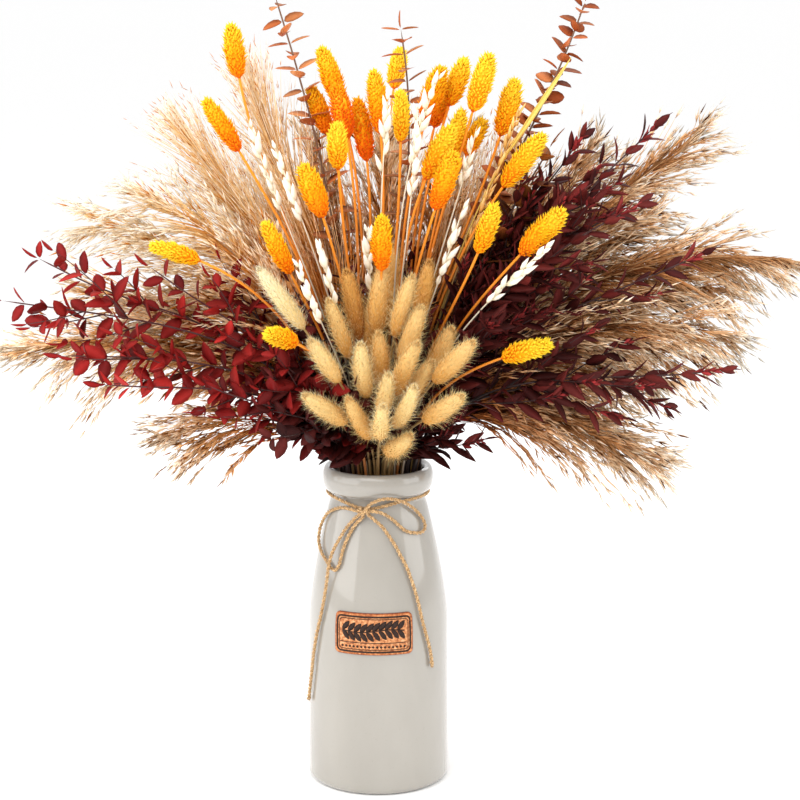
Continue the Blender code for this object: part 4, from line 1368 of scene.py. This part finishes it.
def golden_ear(shape, line, random):
    ear(shape, line, random, 96.0, step=2.1, grain=(11.5, 1.4), spread=0.22, missing=0.05)


BLADE_SIZE = (72.0, 3.4)
BLADE_FACE = (0.2, -1.0, 0.3)
BLADE_REACH = 70.0  # from its foot to the stem's tip


def long_blade(shape, line, random):
    """One long, slim leaf on a thin stem."""
    straw(shape, line, 0.8, 0.5)
    along = distances(line)
    foot, tip = at(line, along, along[-1] - np.array([BLADE_REACH, 0.0]))
    face = np.array([BLADE_FACE])
    blades(shape, foot[None], (tip - foot)[None], face, *BLADE_SIZE, 0.7, bend=0.05, along=0.9)


# The bouquet

LOW = 260.0  # plumes whose tips are lower than this are narrow on the right and loose on the left
PALE_ABOVE = 330.0  # plumes on the left whose tips are higher than this are pale
BROWN_RIGHT_OF = 60.0
FANS = ("plume_01", "plume_02", "plume_12", "plume_13", "plume_14", "plume_pale")
MORE_FULLNESS = 0.55
BROWN_FULLNESS = 1.12  # the plumes on the right are the densest

# Stems that have no solid of their own, by look: their kind, and the x, y and z of each tip
# with the lean of its last stretch in degrees towards +X
MORE = {
    "plume_pale": ("plume", [(-104, 66, 372, -34), (86, 58, 396, 24), (56, 70, 382, 14)]),
    "plume_tan": ("plume", [
        (-40, 62, 398, -14), (52, 60, 396, 14), (4, 52, 400, 0), (-118, -30, 218, -110),
        (-190, 40, 306, -76), (-150, 30, 290, -84),
    ]),
    "plume_brown": ("plume", [
        (206, 20, 262, 102), (134, 20, 226, 112), (112, 70, 356, 40), (222, 30, 304, 98),
        (166, 30, 246, 108), (226, 50, 330, 88), (150, 40, 300, 80), (176, 34, 350, 62),
        (158, 60, 376, 52),
    ]),
    "crimson": ("parvifolia", [
        (-221, -44, 309, -80), (-185, -55, 278, -87), (-94, -10, 328, -22), (-70, -52, 286, -44),
        (-100, -62, 262, -60),
    ]),
    "burgundy": ("parvifolia", [
        (-52, -30, 318, -30), (-62, -60, 246, -72), (70, -40, 318, 26), (104, -30, 336, 40),
        (92, -40, 304, 54), (66, -30, 286, 50), (110, 0, 366, 34), (0, 8, 322, 0), (-24, 14, 330, -10),
        (24, 14, 330, 10), (-6, 10, 272, 0), (26, 10, 270, 12), (-32, 8, 268, -16),
        (168, -44, 262, 82), (134, -8, 386, 46), (146, -14, 360, 58),
    ]),
    "rim_leaves": ("parvifolia", [
        (-52, -38, 234, -60), (-34, -34, 238, -34), (-16, -38, 236, -12), (14, -34, 234, 12),
        (36, -34, 238, 34), (50, -44, 238, 46), (-44, 0, 244, -44), (46, 0, 246, 46),
    ]),
    "brown_leaves": ("eucalyptus", [(103, -10, 396, 30), (92, -4, 372, 22)]),
    "canary_grass": ("canary_grass", [
        (-24, -8, 431, -13), (-40, 20, 428, -22), (-23, -40, 411, 0), (-12, 5, 422, -12),
        (-2, -5, 439, -9), (14, -30, 429, -1), (40, 12, 429, 15), (52, 0, 446, 21),
        (50, -15, 417, 13), (44, -35, 409, 32), (63, 0, 410, 29), (45, -50, 395, 20),
        (-64, -55, 355, -24), (3, -65, 360, 0), (68, -60, 366, 15), (-61, -95, 298, -71),
    ]),
    "bunny_tail": ("bunny_tail", [
        (-18, -45, 327, -12), (-28, -60, 312, -18), (31, -40, 332, 9), (26, -65, 309, 18),
        (1, -62, 293, -5), (7, -80, 272, 7), (44, -50, 294, 19), (33, -62, 276, 34),
        (-17, -75, 257, -21), (22, -85, 266, 14), (20, -70, 234, 32), (10, -20, 339, 5),
        (-4, -40, 306, -2),
    ]),
    "white_ear": ("white_ear", [
        (-60, -50, 403, -19), (-45, -75, 336, -16), (-33, -60, 344, -12), (-6, -40, 351, -4),
        (36, -40, 440, 22), (51, -50, 367, 16), (59, -30, 411, 13),
    ]),
    "golden_ear": ("white_ear", [(84, -25, 420, 17)]),
    "yellow_blade": ("white_ear", [(113, -30, 449, 37)]),
}
MAKERS = {
    "parvifolia": parvifolia,
    "eucalyptus": eucalyptus,
    "canary_grass": canary_grass,
    "bunny_tail": bunny_tail,
    "white_ear": white_ear,
}
MORE_MAKERS = {
    "crimson": short_spray,
    "burgundy": short_spray,
    "rim_leaves": rim_spray,
    "brown_leaves": brown_leaves,
    "canary_grass": small_canary_grass,
    "golden_ear": golden_ear,
    "yellow_blade": long_blade,
}
# The tint is the colour of the painted shade near the bouquet's middle: leaves and stems take
# plant_finish's grey one, and the heads have none
SOFT = {"roughness": 0.85, "contrast": (0.46, 1.26), "Specular_IOR_Level": 0.05, "tint": "C69A70"}
PALE = {"roughness": 0.85, "contrast": (0.84, 1.08), "Specular_IOR_Level": 0.1, "tint": "EEAC54"}
LEAF = {"roughness": 0.6, "contrast": (0.6, 1.25), "Specular_IOR_Level": 0.12, "grain": 260.0}
HEAD = {"roughness": 0.5, "Specular_IOR_Level": 0.15, "tint": None}
STRAW = {"roughness": 0.6}
PLANT_FINISHES = {
    # the colours along a part, from its foot to its tip, and how its surface is
    "plume_tan": ("0 703A10, 25 C47A2E, 60 ECB474, 100 FFEED4", SOFT | {"tint": "CC8C48"}),
    # The brown plumes' colours start very dark: partly their own brown, partly painted shade in the
    # gaps between their locks
    "plume_brown": ("0 3E2010, 25 8C522E, 55 D0945E, 80 F2CCA2, 100 FFF4E2", SOFT),
    "plume_pale": ("0 C4701C, 26 E89A3C, 54 F9CE8C, 92 FFF4E0", PALE),
    "leaf_crimson": ("0 520E0E, 50 901A18, 100 B82C26", LEAF),
    "leaf_burgundy": ("0 301212, 50 541B18, 85 722A26, 100 9A3232", LEAF),
    "leaf_copper": ("0 843A1A, 50 BC6636, 100 DA9660", LEAF),
    "leaf_brown": ("0 5A2A12, 50 8A4A20, 100 AE6630", LEAF),
    "canary_head": (
        "0 F06400, 28 FC9000, 55 FEB40A, 92 FFD630",
        HEAD | {"roughness": 0.7, "contrast": (0.88, 1.1)},
    ),
    "bunny_head": (
        # golden and darkened at the hairs' feet and on the core as painted shade among the hairs, cream
        # at the tips
        "0 B06A28, 30 EAAE5A, 70 FCE2A0, 100 FFF5D4",
        HEAD | {"roughness": 0.9, "contrast": (0.56, 1.18)},
    ),
    "ear_white": ("0 E4D2AC, 40 F7EDD6, 100 FFFBF0", HEAD | {"contrast": (0.88, 1.0)}),
    "ear_golden": ("0 A8702C, 40 DDA452, 100 F4CE8A", HEAD | {"roughness": 0.55}),
    "blade_yellow": ("0 C79A34, 100 F2D774", HEAD),
    "stem_plume": ("0 6A4A2C, 60 96683C, 100 CC9C68", {"roughness": 0.7}),
    "stem_tan": ("0 7F6436, 60 B08E50, 100 C9A968", STRAW),
    "stem_crimson": ("0 3E211C, 100 521E1E", STRAW),
    "stem_burgundy": ("0 2A1714, 100 3E1A18", STRAW),
    "stem_grey": ("0 5E4A3A, 100 7A5A44", STRAW),
    "stem_brown": ("0 4E3A2C, 100 6A4A36", STRAW),
    "stem_orange": ("0 7E6A3A, 50 A8884A, 68 EC8416, 100 FC9A10", {"roughness": 0.55}),
    "stem_white": ("0 BBA878, 100 F0E7D0", STRAW),
    "stem_golden": ("0 A8702C, 40 DDA452, 100 F4CE8A", STRAW),
    "stem_yellow": ("0 9A7A34, 100 D9B54E", STRAW),
}
LOOKS = {
    # the finish of the heads or leaves, and that of the stems
    "plume_tan": ("plume_tan", "stem_plume"),
    "plume_brown": ("plume_brown", "stem_plume"),
    "plume_pale": ("plume_pale", "stem_plume"),
    "crimson": ("leaf_crimson", "stem_crimson"),
    "burgundy": ("leaf_burgundy", "stem_burgundy"),
    "rim_leaves": ("leaf_burgundy", "stem_burgundy"),
    "eucalyptus": ("leaf_copper", "stem_grey"),
    "brown_leaves": ("leaf_brown", "stem_brown"),
    "canary_grass": ("canary_head", "stem_orange"),
    "bunny_tail": ("bunny_head", "stem_tan"),
    "white_ear": ("ear_white", "stem_white"),
    "golden_ear": ("ear_golden", "stem_golden"),
    "yellow_blade": ("blade_yellow", "stem_yellow"),
}


def finishes():
    """The materials of each look."""
    made = {name: plant_finish(name, row[0], **row[1]) for name, row in PLANT_FINISHES.items()}
    return {look: [made[name] for name in names] for look, names in LOOKS.items()}


def plume_form(name, tip):
    """A plume's form and look, which follow its place in the bouquet."""
    if name in FANS:
        return FAN, "plume_pale"
    on_right = tip[0] > 0
    form = BRUSH
    if tip[2] < LOW:
        form = LOW_BRUSH if on_right else LOOSE
    if tip[0] > BROWN_RIGHT_OF:
        return form, "plume_brown"
    return form, "plume_tan" if on_right or tip[2] < PALE_ABOVE else "plume_pale"


def add_plume(shape, name, line, random, fullness=1.0):
    """Adds a plume in the form that suits its place, and returns its look."""
    form, look = plume_form(name, line[-1])
    if look == "plume_brown":
        fullness *= BROWN_FULLNESS
    plume(shape, line, random, form, fullness)
    return look


def dress_stems(looks):
    """A detailed piece in place of every stem of the frame."""
    for name in sorted(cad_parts):
        kind = name.rpartition("_")[0]
        if kind != "plume" and kind not in MAKERS:
            continue
        line = middle_line(name, LEAFY_REACH if kind in ("parvifolia", "eucalyptus") else HEAD_REACH)
        shape = Shape()
        look = kind
        if kind == "plume":
            look = add_plume(shape, name, line, random_for(name))
        else:
            MAKERS[kind](shape, line, random_for(name))
        if kind == "parvifolia":
            look = "crimson" if line[-1, 0] < 0 else "burgundy"
        shape.make(name + "_dried", looks[look], [name])


def add_more_stems(looks):
    """The stems that have no solid, joined by look."""
    for look, (kind, tips) in MORE.items():
        shape = Shape()
        for number, (x, y, z, lean) in enumerate(tips):
            random = random_for(f"more {look} {number}")
            line = planted_line((x, y, z), lean, random)
            if kind == "plume":
                add_plume(shape, look, line, random, MORE_FULLNESS)
            else:
                MORE_MAKERS.get(look, MAKERS[kind])(shape, line, random)
        shape.make(f"more_{look}", looks[look])


add_camera()
twine = twine_finish()
make_twine(twine)
add_lights()
add_floor()
make_wrap(twine)
make_knot(twine)
make_vase()
make_label()
make_label_print()
looks = finishes()
dress_stems(looks)
add_more_stems(looks)
